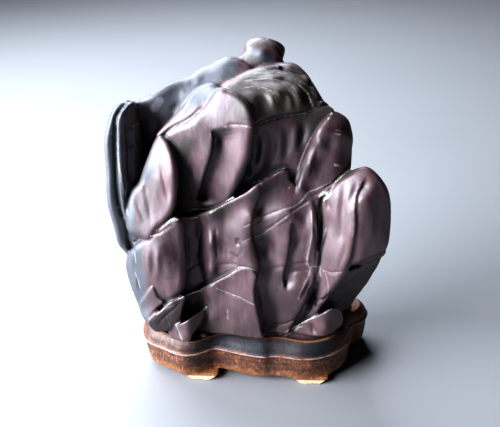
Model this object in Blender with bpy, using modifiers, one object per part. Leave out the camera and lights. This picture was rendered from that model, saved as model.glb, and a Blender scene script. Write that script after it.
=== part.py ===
"""A scholars rock standing loose in its carved hardwood stand.

The rock is laid out as a carver would: on a front sheet and a side sheet. Each sheet stands square to
an eye that looks down on the rock, so that one millimetre on the sheet is one millimetre on the rock
at its middle. Every lobe of the rock has an outline on a sheet, and depths for its face. The rock is
what is left when the front lobes, the right-hand lobes, the back lobes and the foot have all been cut.
"""
import math

import bmesh
import bpy
import numpy as np
from mathutils import Vector

MM = 0.001
GAP = 0.3  # between the stone's lowest face and the socket's floor, mm
SLACK = 2.3  # between the foot of the stone and the wall of its hand-cut socket, mm

# ---------------------------------------------------------------- the two layout sheets, mm and degrees
# turn: 0 looks along +Y. reach: how far the sheet stands from the eye. middle: where the eye's axis
# meets the sheet. lean: the sheet's own small turn about that axis.
FRONT_EYE = dict(place=(0, -598.6, 498.3), turn=0.0, tilt=29.08, lean=2.68, reach=686.9, middle=(156, 183))
SIDE_EYE = dict(place=(523.0, -117.0, 531.9), turn=77.4, tilt=35.55, lean=1.52, reach=742.0,
                middle=(406, 213.5))

# ---------------------------------------------------------------- front lobes: outline, face, rim
# outline: (across, down) on the front sheet. face: (across, down, y). rim: radius of the lobe's edge.
FRONT_LOBES = {
    "core": dict(
        rim=9,
        outline=[(136, 28), (150, 30), (190, 32), (203, 32), (214, 37), (222.5, 47), (228.5, 60), (233, 73),
                 (243, 82), (255, 90), (261, 99), (260, 112), (259.5, 124), (258, 136), (270, 142),
                 (284, 150), (292, 170), (295, 195), (291, 222), (284, 242), (270, 258), (256, 274),
                 (254, 290), (240, 330), (150, 340), (80, 335), (66, 300), (50, 282), (42, 262), (37, 242),
                 (39, 226), (35, 214), (28, 200), (20, 172), (18, 140), (17, 113), (20, 92), (29, 78),
                 (42, 73), (62, 62), (77, 52.5), (90, 49), (102, 41.5), (117, 35)],
        face=[(61, 80, -10), (50, 78, 0), (46, 98, 8), (50, 118, 6), (74, 74, -2), (74, 94, 2),
              (140, 40, 12), (220, 50, 10), (255, 120, 4), (40, 130, 0), (44, 160, -24), (38, 208, -38),
              (60, 270, -36), (100, 150, -24), (100, 225, -38), (150, 150, -26), (280, 200, -30),
              (262, 238, -36), (270, 258, -6), (150, 300, -36), (230, 290, -6)]),
    "knob": dict(
        rim=7,
        outline=[(141, 29), (147, 24.5), (150.5, 20), (151, 14), (156, 9.5), (164, 7), (173, 7.5),
                 (181, 11), (187, 18), (189.5, 26), (186, 33), (180, 37), (165, 41), (148, 38)],
        face=[(168, 9, 16), (156, 20, 10), (168, 22, 5), (184, 22, 10), (168, 36, 4)]),
    "knob_back": dict(
        rim=4,
        outline=[(172, 10), (181, 9.5), (188, 13.5), (193, 20), (193.5, 28), (190, 34), (178, 36)],
        face=[(186, 17, 22), (191, 25, 24), (180, 26, 22)]),
    "shoulder": dict(
        rim=8,
        outline=[(29, 74), (42, 71), (60, 61), (74, 52), (86, 48), (95, 45.5), (106, 38), (116, 34),
                 (127, 27.5), (138, 26), (150, 30), (160, 42), (140, 64), (110, 84), (84, 112), (70, 150),
                 (52, 190), (34, 176), (28, 130)],
        face=[(32, 78, -18), (62, 66, -14), (90, 53, -6), (116, 40, 0), (139, 29, 3), (61, 80, -11),
              (62, 96, -6), (53, 86, -9), (46, 80, -10), (46, 100, -3), (48, 122, -2), (78, 78, -13),
              (98, 66, -15), (126, 48, -9), (44, 144, -8), (70, 120, -8)]),
    "far_plate": dict(
        rim=5,
        outline=[(26.5, 72), (33, 76), (31, 100), (27, 130), (31, 165), (35, 200), (36, 224), (29, 219),
                 (24, 212), (20, 196), (13, 170), (12, 140), (10, 113), (12.5, 96), (18, 80)],
        face=[(22, 84, -22), (17, 115, -28), (20, 150, -33), (28, 195, -38), (32, 218, -38)]),
    "near_plate": dict(
        rim=4,
        outline=[(30, 77), (36, 71.5), (42, 73.5), (46, 88), (49, 110), (48, 134), (45, 150), (37, 159),
                 (34, 172), (31.5, 190), (27, 172), (24.5, 142), (23, 112), (23, 92), (25.5, 83)],
        face=[(36, 76, -27), (27, 100, -34), (33, 92, -33), (42, 92, -22), (45, 112, -20), (27, 130, -38),
              (34, 122, -33), (45, 140, -27), (36, 150, -36), (30, 170, -41), (31, 186, -43)]),
    "slab": dict(
        rim=3,
        outline=[(112, 54), (119, 53.5), (125, 58), (124, 64.6), (108, 78), (95, 88.5), (80, 96), (67, 105),
                 (63, 103), (78, 88), (90, 74), (101, 60)],
        face=[(114, 57, -31), (120, 62, -36), (92, 80, -37), (70, 101, -42), (104, 66, -32)]),
    "cap": dict(
        rim=6,
        outline=[(128, 57), (141, 47), (160, 38), (178, 31.5), (190, 30), (200, 30), (210.5, 33.5),
                 (219.5, 41), (226, 51), (230, 62), (229, 71), (225, 76.5), (210, 82.5), (196, 85),
                 (182, 87), (170, 92), (157, 98), (150, 88), (142, 72)],
        face=[(135, 58, -38), (160, 42, -16), (190, 34, -3), (212, 41, -4), (225, 56, -18), (160, 68, -49),
              (185, 60, -42), (208, 54, -30), (222, 70, -36), (166, 88, -53), (190, 82, -49), (212, 78, -43)]),
    "under_cap": dict(
        rim=2,
        outline=[(152, 84), (182, 82), (210, 76), (232, 70), (240, 80), (232, 100), (212, 135), (196, 168),
                 (170, 170), (134, 178), (128, 160), (140, 120)],
        face=[(165, 100, -46), (190, 92, -45), (222, 82, -38), (165, 130, -44), (192, 125, -46),
              (150, 165, -40), (195, 150, -47)]),
    "knuckle": dict(
        rim=6,
        outline=[(123, 58.5), (134, 59), (145, 64), (154, 73), (159, 84), (160, 97), (159, 112), (157, 126),
                 (151, 142), (143, 158), (136, 173), (124, 178), (104, 180), (86, 180), (82, 160),
                 (83, 138), (78, 118), (69, 106), (78, 98), (96, 89), (110, 76)],
        face=[(124, 64, -50), (146, 74, -60), (154, 84, -65), (128, 84, -58), (112, 84, -53),
              (138, 97, -63), (154, 100, -67), (153, 114, -67), (146, 136, -64), (134, 164, -54),
              (104, 94, -55), (116, 104, -59), (90, 102, -51), (77, 106, -45), (113, 124, -59),
              (98, 126, -49), (106, 150, -49), (94, 156, -37), (88, 140, -41), (90, 174, -28),
              (106, 172, -36), (124, 140, -57)]),
    "left_pillar": dict(
        rim=6,
        outline=[(67, 104.5), (74, 109), (80, 122), (84, 140), (83, 162), (81, 178), (74, 189), (64, 199),
                 (56, 210), (45, 207), (35, 201), (32, 188), (33, 172), (37, 160), (45, 151), (50, 135),
                 (57, 118), (62, 107)],
        face=[(67, 109, -44), (76, 128, -54), (80, 160, -60), (66, 150, -55), (52, 150, -46),
              (64, 186, -57), (50, 190, -53), (38, 190, -49), (38, 168, -43), (54, 132, -45), (72, 175, -59)]),
    "left_lobe": dict(
        rim=7,
        outline=[(52, 206), (62, 197), (72, 190), (82, 185.5), (89, 192), (92, 212), (93, 236), (90, 258),
                 (84, 269), (76, 282), (70, 297), (62, 296), (50, 286), (42, 268), (34, 246), (32, 232),
                 (36, 220), (44, 212)],
        face=[(60, 208, -58), (80, 194, -60), (66, 226, -65), (84, 240, -62), (44, 235, -50),
              (54, 232, -60), (50, 262, -51), (74, 264, -61), (66, 288, -50), (84, 218, -58)]),
    "broken_left": dict(
        rim=1.5,
        outline=[(57.5, 256), (61, 260), (64, 265), (70, 271.5), (64, 277), (58, 284), (54, 291), (49, 287),
                 (46, 279), (46, 272), (51, 265)],
        face=[(58, 260, -59), (66, 271, -60), (55, 286, -58), (48, 278, -52)]),
    "broken_strip": dict(
        rim=1.5,
        outline=[(54, 292), (60, 284), (67, 278), (75, 272), (84, 268), (92, 265), (90, 272), (88, 282),
                 (87, 292), (80, 296), (74, 300), (66, 301), (60, 300)],
        face=[(60, 290, -60), (74, 276, -64), (89, 269, -62), (70, 297, -57), (85, 290, -56)]),
    "middle_face": dict(
        rim=3,
        outline=[(80, 187.5), (98, 185), (115, 180), (132, 172), (150, 163), (160, 156), (172, 149),
                 (192, 138), (197, 150), (206, 156), (217, 164), (224, 190), (225, 222), (225, 250),
                 (215, 268), (212, 284), (200, 325), (100, 330), (84, 300), (84, 268), (89, 250), (92, 232),
                 (90, 205)],
        face=[(88, 190, -48), (96, 190, -39), (105, 188, -42), (116, 184, -57), (121, 190, -53),
              (131, 186, -53), (148, 172, -59), (160, 163, -65), (157, 186, -65), (166, 176, -57),
              (190, 144, -55), (186, 176, -58), (197, 184, -62), (206, 184, -57), (217, 190, -61),
              (92, 214, -37), (99, 214, -34), (107, 214, -41), (118, 213, -57), (123, 214, -52),
              (131, 216, -52), (157, 214, -66), (166, 214, -57), (174, 212, -56), (196, 212, -65),
              (205, 212, -59), (217, 214, -62), (99, 242, -31), (107, 242, -38), (117, 240, -54),
              (124, 240, -49), (140, 238, -57), (163, 238, -67), (170, 240, -58), (192, 240, -65),
              (201, 242, -60), (212, 242, -58), (220, 240, -61), (98, 268, -28), (120, 290, -46),
              (160, 300, -49), (165, 258, -60), (200, 274, -53), (205, 255, -58), (200, 292, -46)]),
    "low_left": dict(
        rim=2.5,
        outline=[(84, 268), (98, 261), (114, 254), (130, 246), (147, 237), (160, 240), (168, 262),
                 (170, 300), (160, 330), (80, 325), (78, 300), (78, 284)],
        face=[(88, 272, -44), (100, 269, -37), (109, 266, -44), (117, 262, -56), (131, 258, -57),
              (147, 244, -63), (97, 290, -32), (107, 290, -36), (115, 288, -50), (128, 288, -52),
              (145, 270, -62), (146, 296, -58), (160, 262, -67), (164, 296, -61)]),
    "low_middle": dict(
        rim=3,
        outline=[(168, 236), (190, 240), (212, 240), (224, 240), (216, 262), (208, 278), (198, 296),
                 (184, 325), (172, 325), (169, 304), (166, 270)],
        face=[(174, 246, -55), (192, 246, -62), (212, 243, -61), (173, 275, -50), (188, 272, -59),
              (200, 264, -65), (178, 300, -46), (194, 290, -55)]),
    "upper_right": dict(
        rim=3,
        outline=[(240, 80.5), (248, 82.5), (256, 89), (262, 98), (264, 105), (259.5, 110.5), (259, 122),
                 (258, 134), (254, 143), (244, 155), (230, 166), (208, 173), (190, 170), (193, 158),
                 (206, 132), (217, 110), (227, 94)],
        face=[(240, 84, -38), (250, 89, -38), (248, 98, -50), (236, 97, -54), (226, 100, -56),
              (258, 103, -46), (217, 112, -49), (226, 113, -60), (234, 113, -52), (206, 132, -47),
              (216, 134, -60), (224, 136, -51), (197, 155, -47), (207, 157, -58), (214, 158, -51),
              (244, 112, -54), (246, 126, -52), (254, 118, -48), (256, 130, -46), (236, 130, -53),
              (236, 143, -53), (226, 155, -54), (216, 164, -55)]),
    "crevice_rib": dict(
        rim=2,
        outline=[(212, 162), (226, 166), (229, 190), (231, 220), (228, 244), (219, 262), (206, 272),
                 (212, 250), (219, 222), (216, 190)],
        face=[(219, 170, -54), (224, 200, -55), (225, 232, -56), (212, 262, -52)]),
    "right_lobe": dict(
        rim=6,
        outline=[(275, 136), (284, 140.5), (292, 151), (298, 164), (301.5, 182), (303, 200), (301.5, 212),
                 (296, 221.5), (283, 229), (268, 234.5), (257, 238), (251.5, 247), (243, 257), (234, 267),
                 (227.5, 277), (221, 286), (213, 290), (210, 282), (216, 268), (220, 256), (221, 246),
                 (219, 238), (219, 232), (220, 210), (219, 190), (222, 170), (236, 156), (250, 144),
                 (262, 138)],
        face=[(272, 141, -60), (250, 150, -58), (234, 170, -57), (246, 176, -64), (262, 172, -74),
              (284, 170, -69), (297, 185, -61), (233, 205, -61), (246, 205, -69), (260, 205, -78),
              (276, 206, -74), (290, 206, -68), (299, 206, -61), (232, 235, -64), (254, 232, -76),
              (276, 226, -71), (294, 219, -66), (230, 248, -62), (247, 246, -73), (225, 260, -57),
              (240, 257, -69), (219, 272, -52), (231, 267, -64), (223, 279, -58), (214, 287, -50)]),
    "right_under": dict(
        rim=4,
        outline=[(229, 236), (250, 230), (270, 224), (289, 214), (296, 222), (296.5, 230), (292, 241),
                 (284, 253), (272, 265), (262, 273), (254, 284), (244, 296), (228, 296), (214, 300),
                 (204, 296), (212, 276), (222, 258)],
        face=[(232, 246, -50), (226, 258, -46), (221, 270, -42), (213, 286, -38), (249, 242, -62),
              (241, 254, -57), (232, 266, -50), (223, 284, -44), (264, 241, -60), (280, 236, -57),
              (293, 226, -56), (262, 252, -50), (250, 262, -43), (276, 248, -40), (240, 276, -38),
              (232, 290, -36), (258, 274, -14), (246, 290, -10), (286, 246, -30), (232, 232, -44),
              (250, 228, -54), (268, 224, -50)]),
    "foot_shard": dict(
        rim=1.2,
        outline=[(181, 307), (192, 301), (203, 294), (214, 288), (226, 283.5), (238, 277.5), (246, 280),
                 (249, 290), (244, 302), (224, 322), (186, 326)],
        face=[(182, 307, -40), (198, 299, -46), (212, 291, -52), (226, 284, -57), (238, 278, -60),
              (190, 314, -44), (206, 308, -50), (222, 303, -56), (234, 298, -61), (243, 283, -52),
              (249, 290, -44), (246, 302, -46), (230, 318, -58), (204, 322, -48)]),
    "foot_wedge": dict(
        rim=1.5,
        outline=[(75, 299), (84, 294), (93, 290), (102, 284), (114, 276), (111, 284), (106, 294), (99, 303),
                 (97, 310), (96, 326), (80, 326), (77, 310)],
        face=[(78, 299, -53), (84, 305, -56), (94, 290, -63), (95, 304, -62), (104, 284, -54),
              (112, 279, -47), (104, 298, -52)]),
}

# ---------------------------------------------------------------- right-hand lobes: outline, face, rim
# outline: (across, down) on the side sheet. face: (across, down, x).
SIDE_LOBES = {
    "open_top": dict(
        rim=1,
        outline=[(300, -20), (422, -20), (423, 3), (412, 14), (408, 30), (411, 45), (404, 55), (396, 68),
                 (391, 88), (388, 107), (374, 112), (362, 116), (350, 128), (344, 150), (345, 200),
                 (338, 215), (340, 280), (352, 312), (352, 420), (300, 420)],
        face=[(300, 0, 190), (480, 30, 190), (330, 300, 190), (400, 80, 190)]),
    "knob_end": dict(
        rim=13,
        outline=[(408, 30), (412, 12), (424, 1), (441, -3), (457, 3), (468, 17), (472, 34), (470, 50),
                 (461, 61), (447, 67), (432, 66), (418, 59), (409, 46)],
        face=[(440, 34, 45), (422, 34, 40), (458, 34, 38), (440, 14, 40), (440, 54, 40), (428, 20, 38),
              (453, 50, 36), (427, 50, 38), (453, 20, 36)]),
    "cap_end": dict(
        rim=4,
        outline=[(436, 75), (427, 56), (413, 45), (402, 55), (393, 68), (388, 88), (385, 108), (402, 105),
                 (415, 100), (428, 91)],
        face=[(412, 50, 44), (394, 104, 65), (402, 75, 58), (430, 76, 55), (412, 96, 63), (392, 88, 58)]),
    "belly": dict(
        rim=10,
        outline=[(420, 60), (440, 56), (456, 58), (470, 70), (482, 95), (490, 130), (494, 170), (494, 215),
                 (489, 248), (478, 272), (466, 284), (450, 288), (436, 276), (424, 250), (410, 200),
                 (392, 160), (374, 112), (400, 100), (420, 85)],
        face=[(402, 80, 49), (430, 76, 54), (455, 75, 50), (440, 90, 61), (393, 108, 65), (411, 110, 67),
              (429, 110, 68), (456, 110, 67), (474, 108, 62), (395, 122, 70), (411, 124, 70),
              (429, 124, 73), (456, 124, 73), (478, 122, 67), (402, 136, 77), (416, 138, 76),
              (432, 136, 80), (456, 136, 79), (416, 150, 84), (432, 148, 86), (452, 148, 84),
              (480, 146, 76), (432, 162, 92), (450, 162, 92), (468, 162, 88), (428, 176, 92),
              (444, 176, 97), (462, 176, 95), (482, 176, 86), (434, 190, 95), (446, 192, 101),
              (462, 194, 98), (434, 206, 93), (448, 208, 99), (466, 208, 96), (484, 204, 86),
              (438, 230, 93), (456, 228, 98), (478, 230, 90), (440, 252, 88), (458, 252, 91),
              (455, 272, 82), (472, 262, 82)]),
    "upper_right_end": dict(
        rim=5,
        outline=[(343, 118), (358, 113), (376, 113), (392, 136), (408, 158), (420, 176), (427, 200),
                 (431, 262), (404, 232), (388, 212), (374, 198.5), (352, 202), (341, 196), (340, 150)],
        face=[(356, 122, 82), (354, 147, 88), (365, 164, 93), (372, 128, 80), (384, 146, 90),
              (398, 162, 93), (372, 180, 94), (384, 182, 94), (398, 186, 95), (412, 186, 95),
              (386, 198, 95), (398, 206, 96), (412, 208, 96), (424, 212, 95), (410, 224, 95), (424, 236, 93)]),
    "right_lobe_end": dict(
        rim=7,
        outline=[(340, 204), (353, 200.5), (374, 198.5), (392, 216), (412, 240), (430, 262), (428, 270),
                 (395, 290), (357, 316), (342, 300), (334, 250)],
        face=[(353, 204, 106), (372, 204, 104), (345, 240, 124), (380, 245, 119), (350, 290, 132),
              (358, 312, 128), (395, 285, 118), (425, 265, 100), (400, 250, 112)]),
    "right_under_end": dict(
        rim=5,
        outline=[(350, 312), (357, 316), (395, 290), (429, 269.5), (441, 280), (446, 300), (444, 340),
                 (440, 378), (437, 400), (400, 420), (340, 420), (345, 340)],
        face=[(358, 318, 127), (395, 292, 117), (428, 272, 102), (372, 338, 122), (402, 354, 112),
              (440, 300, 100), (440, 350, 100), (430, 378, 101), (402, 320, 113)]),
    "back_sliver": dict(
        rim=4,
        outline=[(438, 278), (452, 282), (470, 276), (477, 262), (486, 262), (480, 300), (462, 310),
                 (462, 400), (436, 400), (440, 340)],
        face=[(442, 284, 96), (470, 280, 70), (450, 330, 90), (460, 300, 80)]),
}

# ---------------------------------------------------------------- back lobes: outline, face, rim
# outline: (x, z) seen square from behind. face: (x, z, y).
BACK_LOBES = {
    "back_core": dict(
        rim=4,
        outline=[(-170, -20), (-170, 380), (170, 380), (170, -20)],
        face=[(-130, 240, 0), (-125, 285, -4), (-60, 300, 12), (-60, 200, 32), (-110, 150, 8),
              (-60, 70, 26), (0, 320, 30), (60, 300, 20), (30, 200, 50), (100, 240, 22), (110, 150, 14),
              (90, 60, 22), (30, 60, 34)]),
    "back_knob": dict(
        rim=11,
        outline=[(-24, 318), (-18, 340), (4, 352), (30, 352), (46, 340), (50, 318), (44, 296), (20, 280),
                 (-8, 290), (-22, 304)],
        face=[(-18, 325, 34), (10, 318, 46), (42, 318, 40), (12, 290, 44), (10, 345, 38)]),
    "back_belly": dict(
        rim=9,
        outline=[(-30, 250), (-10, 290), (30, 305), (70, 292), (106, 262), (120, 215), (112, 165),
                 (92, 120), (60, 88), (24, 82), (-6, 110), (-26, 160), (-36, 210)],
        face=[(30, 285, 48), (95, 240, 40), (-20, 230, 50), (30, 240, 59), (60, 180, 62), (30, 144, 68),
              (100, 180, 38), (30, 100, 56), (85, 125, 42)]),
    "back_wing": dict(
        rim=7,
        outline=[(-150, 270), (-128, 306), (-84, 318), (-40, 330), (-8, 322), (-22, 270), (-30, 200),
                 (-44, 150), (-78, 134), (-112, 160), (-138, 200), (-150, 236)],
        face=[(-126, 270, 4), (-84, 296, 14), (-40, 312, 24), (-60, 240, 36), (-110, 210, 14),
              (-60, 170, 40), (-34, 220, 46)]),
    "back_heel": dict(
        rim=6,
        outline=[(-116, 168), (-70, 152), (-30, 138), (0, 112), (20, 84), (14, 40), (10, -20), (-130, -20),
                 (-126, 60), (-122, 120)],
        face=[(-100, 130, 14), (-50, 120, 44), (-10, 100, 52), (-40, 60, 36), (-90, 60, 18), (0, 40, 34)]),
    "back_right_heel": dict(
        rim=6,
        outline=[(20, 92), (60, 96), (96, 122), (122, 150), (132, 110), (124, 50), (120, -20), (10, -20),
                 (12, 50)],
        face=[(40, 84, 46), (90, 100, 36), (112, 110, 20), (60, 40, 26), (100, 50, 14)]),
}

# ---------------------------------------------------------------- the stone's foot and the stand, mm
# The foot's plan, where the stone goes down into its socket.
FOOT_PLAN = [(-106, -12), (-101, -22), (-89, -34.5), (-76, -43.5), (-63, -47.5), (-50, -43.5), (-40, -38),
             (-27, -37), (-12, -41), (4, -47), (18, -46), (34, -48), (54, -52.5), (70, -49), (80, -38),
             (84, -28), (86, -19.5), (93, -15), (102, -7), (105, 1), (98, 9), (84, 16), (60, 27), (30, 32),
             (0, 32), (-30, 34), (-50, 31), (-64, 27), (-82, 22), (-98, 12), (-106, 0)]
FOOT_BOTTOM = 31.0  # height of the stone's lowest face
FLAT_FOOT = 1.2  # what is lower than this above the bottom is cut flat
FOOT_TOP = 44.0  # below this height the stone fills its socket
FLARE_START = 49.8  # height where the stone begins to widen above the stand
FLARE = 3.0  # how fast it may widen, mm outward for each mm of height

# The stand's plan along its raised bead line.
STAND_PLAN = [(-118, -20), (-112, -33), (-95, -45), (-78, -55.5), (-64, -56.5), (-52, -52), (-43, -48.5),
              (-31, -52.5), (-12, -60), (5, -65), (16, -64.5), (28, -67), (45, -71.5), (62, -70.5),
              (77, -65), (89, -55.5), (96, -46), (99, -36), (99, -28), (103, -21.5), (112, -17),
              (119, -9), (122, 1), (119, 11), (109, 20), (92, 31), (72, 42), (48, 48), (24, 46), (8, 44),
              (-10, 47), (-32, 50), (-52, 46), (-64, 40), (-76, 39), (-94, 34), (-110, 22), (-118, 6),
              (-120, -8)]
# The plan of the rim's outer edge, point for point beside the bead line.
RIM_PLAN = [(-111, -17), (-104, -28), (-90, -39), (-77, -49), (-63, -53), (-51, -49), (-42, -44), (-29, -42.5),
            (-12, -47), (5, -52.5), (17, -51.5), (29, -54), (46, -60.5), (62, -61), (75, -56), (85, -47.5),
            (91, -39), (92, -33), (89.5, -26), (96, -19.5), (106, -13.5), (112, -7), (114.5, 1), (111, 9),
            (102, 16), (87, 25), (69, 35), (46, 40), (24, 39), (8, 38), (-10, 40), (-32, 42.5), (-51, 39),
            (-62, 34.5), (-74, 32.5), (-90, 27), (-103, 17), (-111, 5), (-113, -7)]
# (height, how far inside the bead line): the band from its underside up to just above the bead.
BAND_PROFILE = [(6.0, 4.4), (8.0, 3.2), (16.0, 1.9), (27.0, 0.9), (33.4, 0.9), (35.0, -0.9), (36.6, -0.6),
                (37.8, 1.0)]
# (height, share of the way from the bead line in to the rim): the hollow curve above the bead.
COVE_PROFILE = [(43.0, 0.36), (47.0, 0.76), (48.8, 1.0)]
RIM_TOP = 49.2
RIM_ROUND = 1.6  # how far the top of the rim lies inside its outer edge
STAND_SMOOTHNESS = 2  # points between two plan points
SOCKET_EDGE = 45.5  # height of the inner edge of the rim's slope
SOCKET_FLOOR = FOOT_BOTTOM - GAP
# (x, y, length, width): bare wood feet under the band.
FEET = [(-57.5, -47.2, 19, 15), (55, -61.4, 19, 15), (88, 20, 26, 13), (-82, 21, 26, 13)]
FOOT_FLARE = 9.0  # how much further each end of a foot reaches at its top
FOOT_TURN = (-6, -4, -31, 14)  # degrees

# How softly neighbouring lobes run into each other, mm.
FRONT_WELD, SIDE_WELD, BACK_WELD = 1.2, 1.5, 2.0
END_ROUND = 9  # where the front meets the back, round the stone's ends
SIDE_ROUND = 3  # where the right side meets the front and the back
FOOT_ROUND = 2  # where the stone draws in to its foot, and the edge of its lowest face
PLUG_ROUND, PLUG_WELD = 3, 4  # the top edge of the plug in the socket, and its weld to the stone
STONE_LOW, STONE_HIGH = (-160, -100, 22), (160, 90, 360)  # the block that the stone is cut from
STONE_STEP = 3.0  # grid of the carving
STONE_VOXEL = 2.6
STONE_FACES = 7600
OUTLINE_SMOOTHNESS = 5  # points between two outline points
SHEET_MARGIN = 24
SHEET_STEP = 1.0

# ---------------------------------------------------------------- grooves on the front and side sheets
# (points, width, depth)
FRONT_GROOVES = [
    ([(165, 153), (163, 173), (159, 188), (158, 204), (161, 217), (165, 230), (164, 242), (161, 256),
      (161, 268), (163, 280), (166, 292), (168, 307)], 4, 2.6),
    ([(118, 188), (119, 210), (118, 236)], 5, 2.0),
    ([(99, 190), (98, 214), (100, 240), (98, 258)], 9, 2.0),
    ([(198, 188), (196, 212), (192, 235), (190, 246), (192, 262)], 5, 2.4),
    ([(217, 247), (211, 258), (204, 270)], 4, 2.4),
    ([(118, 98), (119.5, 110), (117.5, 124), (112, 140), (106, 158), (101, 172)], 8, 4.0),
    ([(273, 145), (268, 155), (263, 166), (262, 180), (262.5, 192), (261, 206), (259, 218)], 4, 1.8),
    ([(224, 110), (221, 124), (217, 140), (212, 152)], 5, 1.4),
    ([(31, 92), (32, 116), (33, 140), (35, 156)], 4, 2.0),
    ([(163, 100), (162, 122), (158, 142)], 5, 2.0),
    ([(179, 96), (178, 118), (174, 142)], 5, 1.8),
    ([(193, 90), (193, 112), (190, 134)], 5, 2.0),
    ([(210, 86), (209, 102), (204, 122)], 5, 2.4),
    ([(120, 239), (150, 237), (180, 240), (222, 240)], 2, 1.0),
    ([(58, 216), (59, 234), (58, 254)], 4.5, 1.4),
    ([(70, 216), (68, 238), (68, 262)], 6, 1.3),
]
SIDE_GROOVES = [
    ([(374, 113), (392, 138), (412, 162), (428, 186), (431, 215), (430, 262)], 3, 2.4),
    ([(374, 198.5), (398, 224), (429, 262)], 2.4, 2.0),
    ([(357, 316), (392, 292), (429, 269.6)], 2, 1.4),
    ([(437, 77), (428, 90), (415, 99), (389, 107)], 2, 1.2),
    ([(411, 47), (400, 62), (393, 78), (390, 94), (388, 106)], 2, 1.2),
    ([(398, 118), (406, 134), (414, 150), (420, 166)], 9, 4.4),
    ([(432, 180), (436, 196), (438, 214)], 5, 2.2),
    ([(369, 134), (366, 148), (369, 162), (375, 174)], 8, 3.0),
]

STONE_COLOUR = (0.075, 0.055, 0.06)
WOOD_COLOUR = (0.20, 0.075, 0.032)


# ---------------------------------------------------------------- outlines and sheets
def smooth_ring(points, between=OUTLINE_SMOOTHNESS):
    """A closed curve through the points, as a finer ring of points."""
    ring = np.array(points, float)
    before, after, beyond = np.roll(ring, 1, 0), np.roll(ring, -1, 0), np.roll(ring, -2, 0)
    steps = []
    for t in np.arange(between) / between:
        steps.append(0.5 * (2 * ring + (after - before) * t
                            + (2 * before - 5 * ring + 4 * after - beyond) * t ** 2
                            + (3 * ring - before - 3 * after + beyond) * t ** 3))
    return np.stack(steps, 1).reshape(-1, 2)


def distance_to_path(across, down, path):
    """Distance from each place to an open path."""
    best = np.full(across.shape, 1e9)
    for (ax, ay), (bx, by) in zip(path[:-1], path[1:]):
        dx, dy = bx - ax, by - ay
        along = np.clip(((across - ax) * dx + (down - ay) * dy) / (dx * dx + dy * dy), 0, 1)
        best = np.minimum(best, np.hypot(across - ax - along * dx, down - ay - along * dy))
    return best


def depth_inside(across, down, ring):
    """Distance to the closed ring, positive inside it and negative outside."""
    closed = np.vstack([ring, ring[:1]])
    inside = np.zeros(across.shape, bool)
    for (ax, ay), (bx, by) in zip(closed[:-1], closed[1:]):
        if ay != by:
            crossing = (ay > down) != (by > down)
            inside ^= crossing & (across < (bx - ax) * (down - ay) / (by - ay) + ax)
    return np.where(inside, 1, -1) * distance_to_path(across, down, closed)


def bent_sheet(points, across, down):
    """A thin springy sheet bent through (across, down, height) points."""
    given = np.array(points, float)
    scale = 50.0

    def bend(ax, ay, bx, by):
        square = ((ax - bx) ** 2 + (ay - by) ** 2) / scale ** 2
        return square * np.log(square + 1e-9)

    count = len(given)
    system = np.zeros((count + 3, count + 3))
    system[:count, :count] = bend(given[:, None, 0], given[:, None, 1], given[None, :, 0], given[None, :, 1])
    system[:count, :count] += 0.02 * np.eye(count)
    system[:count, count] = system[count, :count] = 1
    system[:count, count + 1] = system[count + 1, :count] = given[:, 0] / scale
    system[:count, count + 2] = system[count + 2, :count] = given[:, 1] / scale
    pull = np.linalg.solve(system, np.append(given[:, 2], [0, 0, 0]))
    height = pull[count] + pull[count + 1] * across / scale + pull[count + 2] * down / scale
    for weight, (ax, ay, _) in zip(pull, given):
        height = height + weight * bend(across, down, ax, ay)
    return height


class Chart:
    """A rectangle of a sheet with values on a fine grid, read anywhere in between."""

    def __init__(self, low, high, step=SHEET_STEP):
        self.low, self.step = np.array(low, float), step
        self.shape = tuple(int(math.ceil((b - a) / step)) + 1 for a, b in zip(low, high))
        self.across, self.down = np.meshgrid(low[0] + step * np.arange(self.shape[0]),
                                             low[1] + step * np.arange(self.shape[1]), indexing="ij")

    def read(self, values, across, down):
        a = np.clip((across - self.low[0]) / self.step, 0, self.shape[0] - 1.001)
        d = np.clip((down - self.low[1]) / self.step, 0, self.shape[1] - 1.001)
        i, j = a.astype(int), d.astype(int)
        a, d = a - i, d - j
        return ((values[i, j] * (1 - a) + values[i + 1, j] * a) * (1 - d)
                + (values[i, j + 1] * (1 - a) + values[i + 1, j + 1] * a) * d)


class Eye:
    """Looks down on the rock, and finds where each place falls on the sheet in front of it."""

    def __init__(self, place, turn, tilt, lean, reach, middle):
        a, p, r = (math.radians(v) for v in (turn, tilt, lean))
        ahead = np.array([-math.sin(a) * math.cos(p), math.cos(a) * math.cos(p), -math.sin(p)])
        right = np.array([math.cos(a), math.sin(a), 0])
        under = np.cross(ahead, right)
        self.ahead = ahead
        self.right = math.cos(r) * right + math.sin(r) * under
        self.under = -math.sin(r) * right + math.cos(r) * under
        self.place, self.reach, self.middle = np.array(place, float), reach, middle

    def sheet(self, x, y, z):
        """(across, down) on the sheet, and how many real mm one sheet mm covers there."""
        px, py, pz = x - self.place[0], y - self.place[1], z - self.place[2]
        ahead, right, under = ((px * v[0] + py * v[1] + pz * v[2])
                               for v in (self.ahead, self.right, self.under))
        return (self.middle[0] + self.reach * right / ahead, self.middle[1] + self.reach * under / ahead,
                ahead / self.reach)


def rounded_both(a, b, radius):
    """Inside both, with the edge between them rounded."""
    return (np.minimum(np.maximum(a, b), -radius)
            + np.hypot(np.maximum(a + radius, 0), np.maximum(b + radius, 0)))


def welded(a, b, radius):
    """Inside either, with the crease between them softened."""
    blend = np.maximum(radius - np.abs(a - b), 0) / radius
    return np.minimum(a, b) - blend ** 2 * radius / 4


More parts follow.
